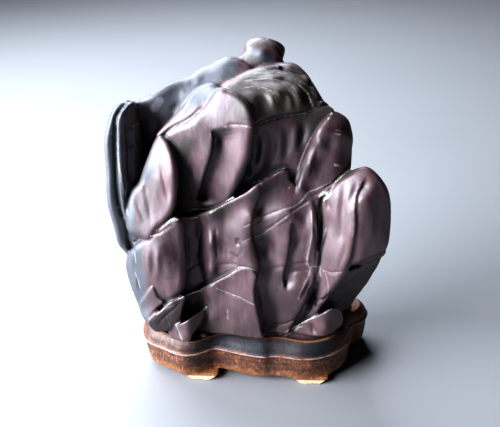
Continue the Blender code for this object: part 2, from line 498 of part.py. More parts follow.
class Lobe:
    """An outline on a sheet with a bent face, that runs back without end."""

    def __init__(self, outline, face, rim):
        ring = smooth_ring(outline)
        self.chart = Chart(ring.min(0) - SHEET_MARGIN, ring.max(0) + SHEET_MARGIN)
        self.edge = depth_inside(self.chart.across, self.chart.down, ring)
        self.face = bent_sheet(face, self.chart.across, self.chart.down)
        slope = np.gradient(self.face, self.chart.step)
        self.steep = np.sqrt(1 + slope[0] ** 2 + slope[1] ** 2)
        self.rim = rim

    def cut(self, across, down, depth, scale):
        edge = self.chart.read(self.edge, across, down) * scale
        face = (self.chart.read(self.face, across, down) - depth) / self.chart.read(self.steep, across, down)
        return rounded_both(-edge, face, self.rim)


def groove_chart(grooves, low, high):
    """How deep the grooves cut, over a whole sheet."""
    chart = Chart(low, high)
    total = np.zeros(chart.shape)
    for path, width, depth in grooves:
        away = distance_to_path(chart.across, chart.down, np.array(path, float)) / width
        total += depth * np.exp(-away ** 2 * 2)
    return chart, total


# ---------------------------------------------------------------- the stone
class Stone:
    """The stone as a field: negative inside it, and nearly a distance close to its skin."""

    def __init__(self):
        self.front, self.side = Eye(**FRONT_EYE), Eye(**SIDE_EYE)
        self.front_lobes = [Lobe(**lobe) for lobe in FRONT_LOBES.values()]
        self.side_lobes = [Lobe(**{**lobe, "face": [(across, down, -x) for across, down, x in lobe["face"]]})
                           for lobe in SIDE_LOBES.values()]
        self.back_lobes = [Lobe(**{**lobe, "face": [(x, z, -y) for x, z, y in lobe["face"]]})
                           for lobe in BACK_LOBES.values()]
        self.front_grooves = groove_chart(FRONT_GROOVES, (0, 0), (312, 366))
        self.side_grooves = groove_chart(SIDE_GROOVES, (312, 0), (500, 427))
        ring = smooth_ring(FOOT_PLAN)
        self.foot_chart = Chart(ring.min(0) - 90, ring.max(0) + 90)
        self.foot = depth_inside(self.foot_chart.across, self.foot_chart.down, ring)

    @staticmethod
    def joined(lobes, across, down, depth, scale, weld):
        total = None
        for lobe in lobes:
            cut = lobe.cut(across, down, depth, scale)
            total = cut if total is None else welded(total, cut, weld)
        return total

    def field(self, x, y, z):
        across, down, scale = self.front.sheet(x, y, z)
        front = self.joined(self.front_lobes, across, down, y, scale, FRONT_WELD)
        chart, grooves = self.front_grooves
        front = front + chart.read(grooves, across, down)
        across, down, scale = self.side.sheet(x, y, z)
        side = self.joined(self.side_lobes, across, down, -x, scale, SIDE_WELD)
        chart, grooves = self.side_grooves
        side = side + chart.read(grooves, across, down)
        back = self.joined(self.back_lobes, x, z, -y, 1.0, BACK_WELD)
        solid = rounded_both(rounded_both(front, back, END_ROUND), side, SIDE_ROUND)
        foot = SLACK - self.foot_chart.read(self.foot, x, y)
        solid = rounded_both(solid, foot - np.maximum(z - FLARE_START, 0) * FLARE, FOOT_ROUND)
        solid = welded(solid, rounded_both(foot, z - FOOT_TOP, PLUG_ROUND), PLUG_WELD)
        return rounded_both(solid, FOOT_BOTTOM - z, FOOT_ROUND)


def skin(field, low, high, step):
    """A closed quad skin round every place where the field is below zero."""
    axes = [np.arange(a, b + step, step) for a, b in zip(low, high)]
    slabs = []
    for x in axes[0]:
        y, z = np.meshgrid(axes[1], axes[2], indexing="ij")
        slabs.append(field(np.full(y.shape, x), y, z))
    value = np.array(slabs)
    inside = value < 0
    cells = tuple(n - 1 for n in value.shape)
    total, crossings = np.zeros(cells + (3,)), np.zeros(cells)
    corner = np.stack(np.meshgrid(*[np.arange(n) for n in cells], indexing="ij"), -1)
    for axis in range(3):
        near, far = [slice(None)] * 3, [slice(None)] * 3
        near[axis], far[axis] = slice(None, -1), slice(1, None)
        start, end = value[tuple(near)], value[tuple(far)]
        crossed = inside[tuple(near)] != inside[tuple(far)]
        along = np.where(crossed, start / np.where(crossed, start - end, 1), 0)
        others = [a for a in range(3) if a != axis]
        for first in (0, 1):
            for second in (0, 1):
                part = [slice(None)] * 3
                part[others[0]] = slice(first, cells[others[0]] + first)
                part[others[1]] = slice(second, cells[others[1]] + second)
                hit = crossed[tuple(part)]
                total[..., axis] += along[tuple(part)]
                total[..., others[0]] += hit * first
                total[..., others[1]] += hit * second
                crossings += hit
    used = crossings > 0
    number = np.full(cells, -1)
    number[used] = np.arange(used.sum())
    places = (total[used] / crossings[used][:, None] + corner[used]) * step + np.array([a[0] for a in axes])
    faces = []
    for axis in range(3):
        others = [a for a in range(3) if a != axis]
        near, far = [slice(1, -1)] * 3, [slice(1, -1)] * 3
        near[axis], far[axis] = slice(None, -1), slice(1, None)
        start, end = inside[tuple(near)], inside[tuple(far)]
        i = np.stack(np.nonzero(start != end), 1)
        i[:, others] += 1
        outward = start[start != end]
        ring = []
        for first, second in ((1, 1), (0, 1), (0, 0), (1, 0)):
            cell = i.copy()
            cell[:, others[0]] -= first
            cell[:, others[1]] -= second
            ring.append(number[tuple(cell.T)])
        ring = np.stack(ring, 1)
        flip = outward if axis != 1 else ~outward
        faces.append(np.where(flip[:, None], ring, ring[:, ::-1]))
    return places, np.vstack(faces)


def mesh_object(name, places, faces):
    mesh = bpy.data.meshes.new(name)
    mesh.from_pydata([tuple(p) for p in places * MM], [], [tuple(f) for f in faces.tolist()])
    mesh.update()
    obj = bpy.data.objects.new(name, mesh)
    bpy.context.scene.collection.objects.link(obj)
    return obj


def applied(obj):
    """Bakes the object's modifiers into its mesh."""
    depsgraph = bpy.context.evaluated_depsgraph_get()
    mesh = bpy.data.meshes.new_from_object(obj.evaluated_get(depsgraph))
    obj.modifiers.clear()
    obj.data = mesh
    return obj


def keep_largest(obj):
    """Removes crumbs that are not joined to the main body."""
    shape = bmesh.new()
    shape.from_mesh(obj.data)
    shape.verts.ensure_lookup_table()
    seen, groups = set(), []
    for start in shape.verts:
        if start.index in seen:
            continue
        group, stack = [], [start]
        seen.add(start.index)
        while stack:
            vert = stack.pop()
            group.append(vert)
            for edge in vert.link_edges:
                other = edge.other_vert(vert)
                if other.index not in seen:
                    seen.add(other.index)
                    stack.append(other)
        groups.append(group)
    groups.sort(key=len)
    for group in groups[:-1]:
        bmesh.ops.delete(shape, geom=group, context="VERTS")
    bmesh.ops.triangulate(shape, faces=shape.faces)
    bmesh.ops.recalc_face_normals(shape, faces=shape.faces)
    shape.to_mesh(obj.data)
    shape.free()
    return obj


def build_stone():
    places, faces = skin(Stone().field, STONE_LOW, STONE_HIGH, STONE_STEP)
    stone = mesh_object("stone", places, faces)
    keep_largest(stone)
    closed = stone.modifiers.new("closed skin", "REMESH")
    closed.mode, closed.voxel_size = "VOXEL", STONE_VOXEL * MM
    keep_largest(applied(stone))
    decimate = stone.modifiers.new("fewer faces", "DECIMATE")
    decimate.ratio = STONE_FACES / len(stone.data.polygons)
    keep_largest(applied(stone))
    for vert in stone.data.vertices:
        if vert.co.z < (FOOT_BOTTOM + FLAT_FOOT) * MM:
            vert.co.z = FOOT_BOTTOM * MM
    return stone


# ---------------------------------------------------------------- the stand
def inset_ring(ring, inset):
    """The ring moved inward; a negative inset moves it outward."""
    along = np.roll(ring, -1, 0) - np.roll(ring, 1, 0)
    inward = np.stack([-along[:, 1], along[:, 0]], 1) / np.linalg.norm(along, axis=1)[:, None]
    return ring + inward * inset


def stand_rings(between):
    """(plan ring, height) pairs up the outside of the stand, over its rim and into the socket."""
    bead, rim = smooth_ring(STAND_PLAN, between), smooth_ring(RIM_PLAN, between)
    rings = [(inset_ring(bead, inset), height) for height, inset in BAND_PROFILE]
    rings += [(bead + (rim - bead) * share, height) for height, share in COVE_PROFILE]
    rings.append((inset_ring(rim, RIM_ROUND), RIM_TOP))
    return rings


def build_stand():
    shape = bmesh.new()
    rings = [[shape.verts.new((x * MM, y * MM, height * MM)) for x, y in ring]
             for ring, height in stand_rings(STAND_SMOOTHNESS)]
    socket = smooth_ring(FOOT_PLAN, STAND_SMOOTHNESS)
    edge = [shape.verts.new((x * MM, y * MM, SOCKET_EDGE * MM)) for x, y in socket]
    floor = [shape.verts.new((x * MM, y * MM, SOCKET_FLOOR * MM)) for x, y in socket]
    for near, far in list(zip(rings[:-1], rings[1:])) + [(edge, floor)]:
        for a, b, c, d in zip(near, near[1:] + near[:1], far[1:] + far[:1], far):
            shape.faces.new((a, b, c, d))
    shape.faces.new(rings[0])
    shape.faces.new(floor)
    outer = [shape.edges.get((a, b)) for a, b in zip(rings[-1], rings[-1][1:] + rings[-1][:1])]
    inner = [shape.edges.get((a, b)) for a, b in zip(edge, edge[1:] + edge[:1])]
    bmesh.ops.bridge_loops(shape, edges=outer + inner)
    bmesh.ops.recalc_face_normals(shape, faces=shape.faces)
    mesh = bpy.data.meshes.new("stand")
    shape.to_mesh(mesh)
    shape.free()
    stand = bpy.data.objects.new("stand", mesh)
    bpy.context.scene.collection.objects.link(stand)
    for (x, y, length, width), turn in zip(FEET, FOOT_TURN):
        foot = build_foot(x, y, length, width, turn)
        union = stand.modifiers.new("foot", "BOOLEAN")
        union.operation, union.solver, union.object = "UNION", "EXACT", foot
    applied(stand)
    for helper in [o for o in bpy.data.objects if o.name.startswith("foot_block")]:
        bpy.data.objects.remove(helper)
    return stand


def build_foot(x, y, length, width, turn):
    """One foot: a block whose ends spread toward its top, which ends inside the band."""
    bpy.ops.mesh.primitive_cube_add(size=1)
    foot = bpy.context.object
    foot.name = "foot_block"
    top = BAND_PROFILE[1][0]
    for vert in foot.data.vertices:
        spread = 0 if vert.co.z < 0 else FOOT_FLARE
        vert.co.x *= (length + 2 * spread) * MM
        vert.co.y *= width * MM
        vert.co.z = 0 if vert.co.z < 0 else top * MM
    foot.location = Vector((x, y, 0)) * MM
    foot.rotation_euler.z = math.radians(turn)
    return foot


def centre_on_floor(pieces):
    """Moves the pieces together until the middle of their plan is over the origin."""
    places = np.array([vert.co for piece in pieces for vert in piece.data.vertices])
    middle = (places.min(0) + places.max(0)) / 2
    for piece in pieces:
        for vert in piece.data.vertices:
            vert.co -= Vector((middle[0], middle[1], 0))


def finish(obj, name, colour, roughness):
    material = bpy.data.materials.new(name)
    material.use_nodes = True
    shader = material.node_tree.nodes["Principled BSDF"]
    shader.inputs["Base Color"].default_value = (*colour, 1)
    shader.inputs["Roughness"].default_value = roughness
    shader.inputs["Metallic"].default_value = 0
    obj.data.materials.clear()
    obj.data.materials.append(material)


def main():
    for obj in list(bpy.data.objects):
        bpy.data.objects.remove(obj)
    stone, stand = build_stone(), build_stand()
    centre_on_floor([stone, stand])
    finish(stone, "waxed dark stone", STONE_COLOUR, 0.35)
    finish(stand, "carved hardwood", WOOD_COLOUR, 0.5)


main()
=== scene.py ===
"""A scholars rock standing loose in its carved hardwood stand, set out for a studio picture.

The rock follows the same two layout sheets as its solid: a front sheet and a side sheet, each square to
an eye that looks down on the rock. Its skin is drawn again here with the flutes, folds, cracks, chips
and pits that the solid leaves out. The stand is carved again with its worn bead, its cove and its feet.
"""
import itertools
import math

import bmesh
import bpy
import numpy as np
from mathutils import Matrix, Vector


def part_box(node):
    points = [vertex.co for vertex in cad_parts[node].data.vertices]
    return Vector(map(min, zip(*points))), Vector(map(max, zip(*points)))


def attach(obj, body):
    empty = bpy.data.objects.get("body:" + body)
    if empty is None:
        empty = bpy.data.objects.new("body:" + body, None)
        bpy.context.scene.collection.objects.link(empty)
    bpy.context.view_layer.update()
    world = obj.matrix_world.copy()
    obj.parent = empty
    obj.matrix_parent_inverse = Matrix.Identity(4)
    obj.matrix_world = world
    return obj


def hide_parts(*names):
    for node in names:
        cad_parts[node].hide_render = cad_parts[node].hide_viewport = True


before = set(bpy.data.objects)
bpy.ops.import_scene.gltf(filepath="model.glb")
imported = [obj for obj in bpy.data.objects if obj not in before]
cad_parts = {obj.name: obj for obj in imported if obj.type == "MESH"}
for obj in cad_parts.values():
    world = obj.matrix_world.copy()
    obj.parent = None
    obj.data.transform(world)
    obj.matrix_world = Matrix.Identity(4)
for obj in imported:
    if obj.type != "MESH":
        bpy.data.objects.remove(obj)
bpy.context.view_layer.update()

MM = 0.001
GAP = 0.3  # between the stone's lowest face and the socket's floor, mm
SLACK = 2.3  # between the foot of the stone and the wall of its hand-cut socket, mm

# ---------------------------------------------------------------- the two layout sheets, mm and degrees
# turn: 0 looks along +Y. reach: how far the sheet stands from the eye. middle: where the eye's axis
# meets the sheet. lean: the sheet's own small turn about that axis.
FRONT_EYE = dict(place=(0, -598.6, 498.3), turn=0.0, tilt=29.08, lean=2.68, reach=686.9, middle=(156, 183))
SIDE_EYE = dict(place=(523.0, -117.0, 531.9), turn=77.4, tilt=35.55, lean=1.52, reach=742.0,
                middle=(406, 213.5))

# ---------------------------------------------------------------- front lobes: outline, face, rim
# outline: (across, down) on the front sheet. face: (across, down, y). rim: radius of the lobe's edge.
FRONT_LOBES = {
    "core": dict(rim=9, outline=[
        (136, 28), (150, 30), (190, 32), (203, 32), (214, 37), (222.5, 47), (228.5, 60), (233, 73),
        (243, 82), (255, 90), (261, 99), (260, 112), (259.5, 124), (258, 136), (270, 142), (284, 150),
        (292, 170), (295, 195), (291, 222), (284, 242), (270, 258), (256, 274), (254, 290), (240, 330),
        (150, 340), (80, 335), (66, 300), (50, 282), (42, 262), (37, 242), (39, 226), (35, 214), (28, 200),
        (20, 172), (18, 140), (17, 113), (20, 92), (29, 78), (42, 73), (62, 62), (77, 52.5), (90, 49),
        (102, 41.5), (117, 35)], face=[
        (61, 80, -10), (50, 78, 0), (46, 98, 8), (50, 118, 6), (74, 74, -2), (74, 94, 2), (140, 40, 12),
        (220, 50, 10), (255, 120, 4), (40, 130, 0), (44, 160, -24), (38, 208, -38), (60, 270, -36),
        (100, 150, -24), (100, 225, -38), (150, 150, -26), (280, 200, -30), (262, 238, -36), (270, 258, -6),
        (150, 300, -36), (230, 290, -6)]),
    "knob": dict(rim=7, outline=[
        (141, 29), (147, 24.5), (150.5, 20), (151, 14), (156, 9.5), (164, 7), (173, 7.5), (181, 11),
        (187, 18), (189.5, 26), (186, 33), (180, 37), (165, 41), (148, 38)], face=[
        (168, 9, 16), (156, 20, 10), (168, 22, 5), (184, 22, 10), (168, 36, 4)]),
    "knob_back": dict(rim=4, outline=[
        (172, 10), (181, 9.5), (188, 13.5), (193, 20), (193.5, 28), (190, 34), (178, 36)], face=[
        (186, 17, 22), (191, 25, 24), (180, 26, 22)]),
    "shoulder": dict(rim=8, outline=[
        (29, 74), (42, 71), (60, 61), (74, 52), (86, 48), (95, 45.5), (106, 38), (116, 34), (127, 27.5),
        (138, 26), (150, 30), (160, 42), (140, 64), (110, 84), (84, 112), (70, 150), (52, 190), (34, 176),
        (28, 130)], face=[
        (32, 78, -18), (62, 66, -14), (90, 53, -6), (116, 40, 0), (139, 29, 3), (61, 80, -11), (62, 96, -6),
        (53, 86, -9), (46, 80, -10), (46, 100, -3), (48, 122, -2), (78, 78, -13), (98, 66, -15),
        (126, 48, -9), (44, 144, -8), (70, 120, -8)]),
    "far_plate": dict(rim=5, outline=[
        (26.5, 72), (33, 76), (31, 100), (27, 130), (31, 165), (35, 200), (36, 224), (29, 219), (24, 212),
        (20, 196), (13, 170), (12, 140), (10, 113), (12.5, 96), (18, 80)], face=[
        (22, 84, -22), (17, 115, -28), (20, 150, -33), (28, 195, -38), (32, 218, -38)]),
    "near_plate": dict(rim=4, outline=[
        (30, 77), (36, 71.5), (42, 73.5), (46, 88), (49, 110), (48, 134), (45, 150), (37, 159), (34, 172),
        (31.5, 190), (27, 172), (24.5, 142), (23, 112), (23, 92), (25.5, 83)], face=[
        (36, 76, -27), (27, 100, -34), (33, 92, -33), (42, 92, -22), (45, 112, -20), (27, 130, -38),
        (34, 122, -33), (45, 140, -27), (36, 150, -36), (30, 170, -41), (31, 186, -43)]),
    "slab": dict(rim=3, outline=[
        (112, 54), (119, 53.5), (125, 58), (124, 64.6), (108, 78), (95, 88.5), (80, 96), (67, 105),
        (63, 103), (78, 88), (90, 74), (101, 60)], face=[
        (114, 57, -31), (120, 62, -36), (92, 80, -37), (70, 101, -42), (104, 66, -32)]),
    "cap": dict(rim=6, outline=[
        (128, 57), (141, 47), (160, 38), (178, 31.5), (190, 30), (200, 30), (210.5, 33.5), (219.5, 41),
        (226, 51), (230, 62), (229, 71), (225, 76.5), (210, 82.5), (196, 85), (182, 87), (170, 92),
        (157, 98), (150, 88), (142, 72)], face=[
        (135, 58, -38), (160, 42, -16), (190, 34, -3), (212, 41, -4), (225, 56, -18), (160, 68, -49),
        (185, 60, -42), (208, 54, -30), (222, 70, -36), (166, 88, -53), (190, 82, -49), (212, 78, -43)]),
    "under_cap": dict(rim=2, outline=[
        (152, 84), (182, 82), (210, 76), (232, 70), (240, 80), (232, 100), (212, 135), (196, 168),
        (170, 170), (134, 178), (128, 160), (140, 120)], face=[
        (165, 100, -46), (190, 92, -45), (222, 82, -38), (165, 130, -44), (192, 125, -46), (150, 165, -40),
        (195, 150, -47)]),
    "knuckle": dict(rim=6, outline=[
        (123, 58.5), (134, 59), (145, 64), (154, 73), (159, 84), (160, 97), (159, 112), (157, 126),
        (151, 142), (143, 158), (136, 173), (124, 178), (104, 180), (86, 180), (82, 160), (83, 138),
        (78, 118), (69, 106), (78, 98), (96, 89), (110, 76)], face=[
        (124, 64, -50), (146, 74, -60), (154, 84, -65), (128, 84, -58), (112, 84, -53), (138, 97, -63),
        (154, 100, -67), (153, 114, -67), (146, 136, -64), (134, 164, -54), (104, 94, -55), (116, 104, -59),
        (90, 102, -51), (77, 106, -45), (113, 124, -59), (98, 126, -49), (106, 150, -49), (94, 156, -37),
        (88, 140, -41), (90, 174, -28), (106, 172, -36), (124, 140, -57)]),
    "left_pillar": dict(rim=6, outline=[
        (67, 104.5), (74, 109), (80, 122), (84, 140), (83, 162), (81, 178), (74, 189), (64, 199), (56, 210),
        (45, 207), (35, 201), (32, 188), (33, 172), (37, 160), (45, 151), (50, 135), (57, 118),
        (62, 107)], face=[
        (67, 109, -44), (76, 128, -54), (80, 160, -60), (66, 150, -55), (52, 150, -46), (64, 186, -57),
        (50, 190, -53), (38, 190, -49), (38, 168, -43), (54, 132, -45), (72, 175, -59)]),
    "left_lobe": dict(rim=7, outline=[
        (52, 206), (62, 197), (72, 190), (82, 185.5), (89, 192), (92, 212), (93, 236), (90, 258), (84, 269),
        (76, 282), (70, 297), (62, 296), (50, 286), (42, 268), (34, 246), (32, 232), (36, 220),
        (44, 212)], face=[
        (60, 208, -58), (80, 194, -60), (66, 226, -65), (84, 240, -62), (44, 235, -50), (54, 232, -60),
        (50, 262, -51), (74, 264, -61), (66, 288, -50), (84, 218, -58)]),
    "broken_left": dict(rim=1.5, outline=[
        (57.5, 256), (61, 260), (64, 265), (70, 271.5), (64, 277), (58, 284), (54, 291), (49, 287),
        (46, 279), (46, 272), (51, 265)], face=[
        (58, 260, -59), (66, 271, -60), (55, 286, -58), (48, 278, -52)]),
    "broken_strip": dict(rim=1.5, outline=[
        (54, 292), (60, 284), (67, 278), (75, 272), (84, 268), (92, 265), (90, 272), (88, 282), (87, 292),
        (80, 296), (74, 300), (66, 301), (60, 300)], face=[
        (60, 290, -60), (74, 276, -64), (89, 269, -62), (70, 297, -57), (85, 290, -56)]),
    "middle_face": dict(rim=3, outline=[
        (80, 187.5), (98, 185), (115, 180), (132, 172), (150, 163), (160, 156), (172, 149), (192, 138),
        (197, 150), (206, 156), (217, 164), (224, 190), (225, 222), (225, 250), (215, 268), (212, 284),
        (200, 325), (100, 330), (84, 300), (84, 268), (89, 250), (92, 232), (90, 205)], face=[
        (88, 190, -48), (96, 190, -39), (105, 188, -42), (116, 184, -57), (121, 190, -53), (131, 186, -53),
        (148, 172, -59), (160, 163, -65), (157, 186, -65), (166, 176, -57), (190, 144, -55), (186, 176, -58),
        (197, 184, -62), (206, 184, -57), (217, 190, -61), (92, 214, -37), (99, 214, -34), (107, 214, -41),
        (118, 213, -57), (123, 214, -52), (131, 216, -52), (157, 214, -66), (166, 214, -57), (174, 212, -56),
        (196, 212, -65), (205, 212, -59), (217, 214, -62), (99, 242, -31), (107, 242, -38), (117, 240, -54),
        (124, 240, -49), (140, 238, -57), (163, 238, -67), (170, 240, -58), (192, 240, -65), (201, 242, -60),
        (212, 242, -58), (220, 240, -61), (98, 268, -28), (120, 290, -46), (160, 300, -49), (165, 258, -60),
        (200, 274, -53), (205, 255, -58), (200, 292, -46)]),
    "low_left": dict(rim=2.5, outline=[
        (84, 268), (98, 261), (114, 254), (130, 246), (147, 237), (160, 240), (168, 262), (170, 300),
        (160, 330), (80, 325), (78, 300), (78, 284)], face=[
        (88, 272, -44), (100, 269, -37), (109, 266, -44), (117, 262, -56), (131, 258, -57), (147, 244, -63),
        (97, 290, -32), (107, 290, -36), (115, 288, -50), (128, 288, -52), (145, 270, -62), (146, 296, -58),
        (160, 262, -67), (164, 296, -61)]),
    "low_middle": dict(rim=3, outline=[
        (168, 236), (190, 240), (212, 240), (224, 240), (216, 262), (208, 278), (198, 296), (184, 325),
        (172, 325), (169, 304), (166, 270)], face=[
        (174, 246, -55), (192, 246, -62), (212, 243, -61), (173, 275, -50), (188, 272, -59), (200, 264, -65),
        (178, 300, -46), (194, 290, -55)]),
    "upper_right": dict(rim=3, outline=[
        (240, 80.5), (248, 82.5), (256, 89), (262, 98), (264, 105), (259.5, 110.5), (259, 122), (258, 134),
        (254, 143), (244, 155), (230, 166), (208, 173), (190, 170), (193, 158), (206, 132), (217, 110),
        (227, 94)], face=[
        (240, 84, -38), (250, 89, -38), (248, 98, -50), (236, 97, -54), (226, 100, -56), (258, 103, -46),
        (217, 112, -49), (226, 113, -60), (234, 113, -52), (206, 132, -47), (216, 134, -60), (224, 136, -51),
        (197, 155, -47), (207, 157, -58), (214, 158, -51), (244, 112, -54), (246, 126, -52), (254, 118, -48),
        (256, 130, -46), (236, 130, -53), (236, 143, -53), (226, 155, -54), (216, 164, -55)]),
    "crevice_rib": dict(rim=2, outline=[
        (212, 162), (226, 166), (229, 190), (231, 220), (228, 244), (219, 262), (206, 272), (212, 250),
        (219, 222), (216, 190)], face=[
        (219, 170, -54), (224, 200, -55), (225, 232, -56), (212, 262, -52)]),
    "right_lobe": dict(rim=6, outline=[
        (275, 136), (284, 140.5), (292, 151), (298, 164), (301.5, 182), (303, 200), (301.5, 212),
        (296, 221.5), (283, 229), (268, 234.5), (257, 238), (251.5, 247), (243, 257), (234, 267),
        (227.5, 277), (221, 286), (213, 290), (210, 282), (216, 268), (220, 256), (221, 246), (219, 238),
        (219, 232), (220, 210), (219, 190), (222, 170), (236, 156), (250, 144), (262, 138)], face=[
        (272, 141, -60), (250, 150, -58), (234, 170, -57), (246, 176, -64), (262, 172, -74), (284, 170, -69),
        (297, 185, -61), (233, 205, -61), (246, 205, -69), (260, 205, -78), (276, 206, -74), (290, 206, -68),
        (299, 206, -61), (232, 235, -64), (254, 232, -76), (276, 226, -71), (294, 219, -66), (230, 248, -62),
        (247, 246, -73), (225, 260, -57), (240, 257, -69), (219, 272, -52), (231, 267, -64), (223, 279, -58),
        (214, 287, -50)]),
    "right_under": dict(rim=4, outline=[
        (229, 236), (250, 230), (270, 224), (289, 214), (296, 222), (296.5, 230), (292, 241), (284, 253),
        (272, 265), (262, 273), (254, 284), (244, 296), (228, 296), (214, 300), (204, 296), (212, 276),
        (222, 258)], face=[
        (232, 246, -50), (226, 258, -46), (221, 270, -42), (213, 286, -38), (249, 242, -62), (241, 254, -57),
        (232, 266, -50), (223, 284, -44), (264, 241, -60), (280, 236, -57), (293, 226, -56), (262, 252, -50),
        (250, 262, -43), (276, 248, -40), (240, 276, -38), (232, 290, -36), (258, 274, -14), (246, 290, -10),
        (286, 246, -30), (232, 232, -44), (250, 228, -54), (268, 224, -50)]),
    "foot_shard": dict(rim=1.2, outline=[
        (181, 307), (192, 301), (203, 294), (214, 288), (226, 283.5), (238, 277.5), (246, 280), (249, 290),
        (244, 302), (224, 322), (186, 326)], face=[
        (182, 307, -40), (198, 299, -46), (212, 291, -52), (226, 284, -57), (238, 278, -60), (190, 314, -44),
        (206, 308, -50), (222, 303, -56), (234, 298, -61), (243, 283, -52), (249, 290, -44), (246, 302, -46),
        (230, 318, -58), (204, 322, -48)]),
    "foot_wedge": dict(rim=1.5, outline=[
        (75, 299), (84, 294), (93, 290), (102, 284), (114, 276), (111, 284), (106, 294), (99, 303),
        (97, 310), (96, 326), (80, 326), (77, 310)], face=[
        (78, 299, -53), (84, 305, -56), (94, 290, -63), (95, 304, -62), (104, 284, -54), (112, 279, -47),
        (104, 298, -52)]),
}

# ---------------------------------------------------------------- right-hand lobes: outline, face, rim
# outline: (across, down) on the side sheet. face: (across, down, x).
SIDE_LOBES = {
    "open_top": dict(rim=1, outline=[
        (300, -20), (422, -20), (423, 3), (412, 14), (408, 30), (411, 45), (404, 55), (396, 68), (391, 88),
        (388, 107), (374, 112), (362, 116), (350, 128), (344, 150), (345, 200), (338, 215), (340, 280),
        (352, 312), (352, 420), (300, 420)], face=[
        (300, 0, 190), (480, 30, 190), (330, 300, 190), (400, 80, 190)]),
    "knob_end": dict(rim=13, outline=[
        (408, 30), (412, 12), (424, 1), (441, -3), (457, 3), (468, 17), (472, 34), (470, 50), (461, 61),
        (447, 67), (432, 66), (418, 59), (409, 46)], face=[
        (440, 34, 45), (422, 34, 40), (458, 34, 38), (440, 14, 40), (440, 54, 40), (428, 20, 38),
        (453, 50, 36), (427, 50, 38), (453, 20, 36)]),
    "cap_end": dict(rim=4, outline=[
        (436, 75), (427, 56), (413, 45), (402, 55), (393, 68), (388, 88), (385, 108), (402, 105), (415, 100),
        (428, 91)], face=[
        (412, 50, 44), (394, 104, 65), (402, 75, 58), (430, 76, 55), (412, 96, 63), (392, 88, 58)]),
    "belly": dict(rim=10, outline=[
        (420, 60), (440, 56), (456, 58), (470, 70), (482, 95), (490, 130), (494, 170), (494, 215),
        (489, 248), (478, 272), (466, 284), (450, 288), (436, 276), (424, 250), (410, 200), (392, 160),
        (374, 112), (400, 100), (420, 85)], face=[
        (402, 80, 49), (430, 76, 54), (455, 75, 50), (440, 90, 61), (393, 108, 65), (411, 110, 67),
        (429, 110, 68), (456, 110, 67), (474, 108, 62), (395, 122, 70), (411, 124, 70), (429, 124, 73),
        (456, 124, 73), (478, 122, 67), (402, 136, 77), (416, 138, 76), (432, 136, 80), (456, 136, 79),
        (416, 150, 84), (432, 148, 86), (452, 148, 84), (480, 146, 76), (432, 162, 92), (450, 162, 92),
        (468, 162, 88), (428, 176, 92), (444, 176, 97), (462, 176, 95), (482, 176, 86), (434, 190, 95),
        (446, 192, 101), (462, 194, 98), (434, 206, 93), (448, 208, 99), (466, 208, 96), (484, 204, 86),
        (438, 230, 93), (456, 228, 98), (478, 230, 90), (440, 252, 88), (458, 252, 91), (455, 272, 82),
        (472, 262, 82)]),
    "upper_right_end": dict(rim=5, outline=[
        (343, 118), (358, 113), (376, 113), (392, 136), (408, 158), (420, 176), (427, 200), (431, 262),
        (404, 232), (388, 212), (374, 198.5), (352, 202), (341, 196), (340, 150)], face=[
        (356, 122, 82), (354, 147, 88), (365, 164, 93), (372, 128, 80), (384, 146, 90), (398, 162, 93),
        (372, 180, 94), (384, 182, 94), (398, 186, 95), (412, 186, 95), (386, 198, 95), (398, 206, 96),
        (412, 208, 96), (424, 212, 95), (410, 224, 95), (424, 236, 93)]),
    "right_lobe_end": dict(rim=7, outline=[
        (340, 204), (353, 200.5), (374, 198.5), (392, 216), (412, 240), (430, 262), (428, 270), (395, 290),
        (357, 316), (342, 300), (334, 250)], face=[
        (353, 204, 106), (372, 204, 104), (345, 240, 124), (380, 245, 119), (350, 290, 132), (358, 312, 128),
        (395, 285, 118), (425, 265, 100), (400, 250, 112)]),
    "right_under_end": dict(rim=5, outline=[
        (350, 312), (357, 316), (395, 290), (429, 269.5), (441, 280), (446, 300), (444, 340), (440, 378),
        (437, 400), (400, 420), (340, 420), (345, 340)], face=[
        (358, 318, 127), (395, 292, 117), (428, 272, 102), (372, 338, 122), (402, 354, 112), (440, 300, 100),
        (440, 350, 100), (430, 378, 101), (402, 320, 113)]),
    "back_sliver": dict(rim=4, outline=[
        (438, 278), (452, 282), (470, 276), (477, 262), (486, 262), (480, 300), (462, 310), (462, 400),
        (436, 400), (440, 340)], face=[
        (442, 284, 96), (470, 280, 70), (450, 330, 90), (460, 300, 80)]),
}

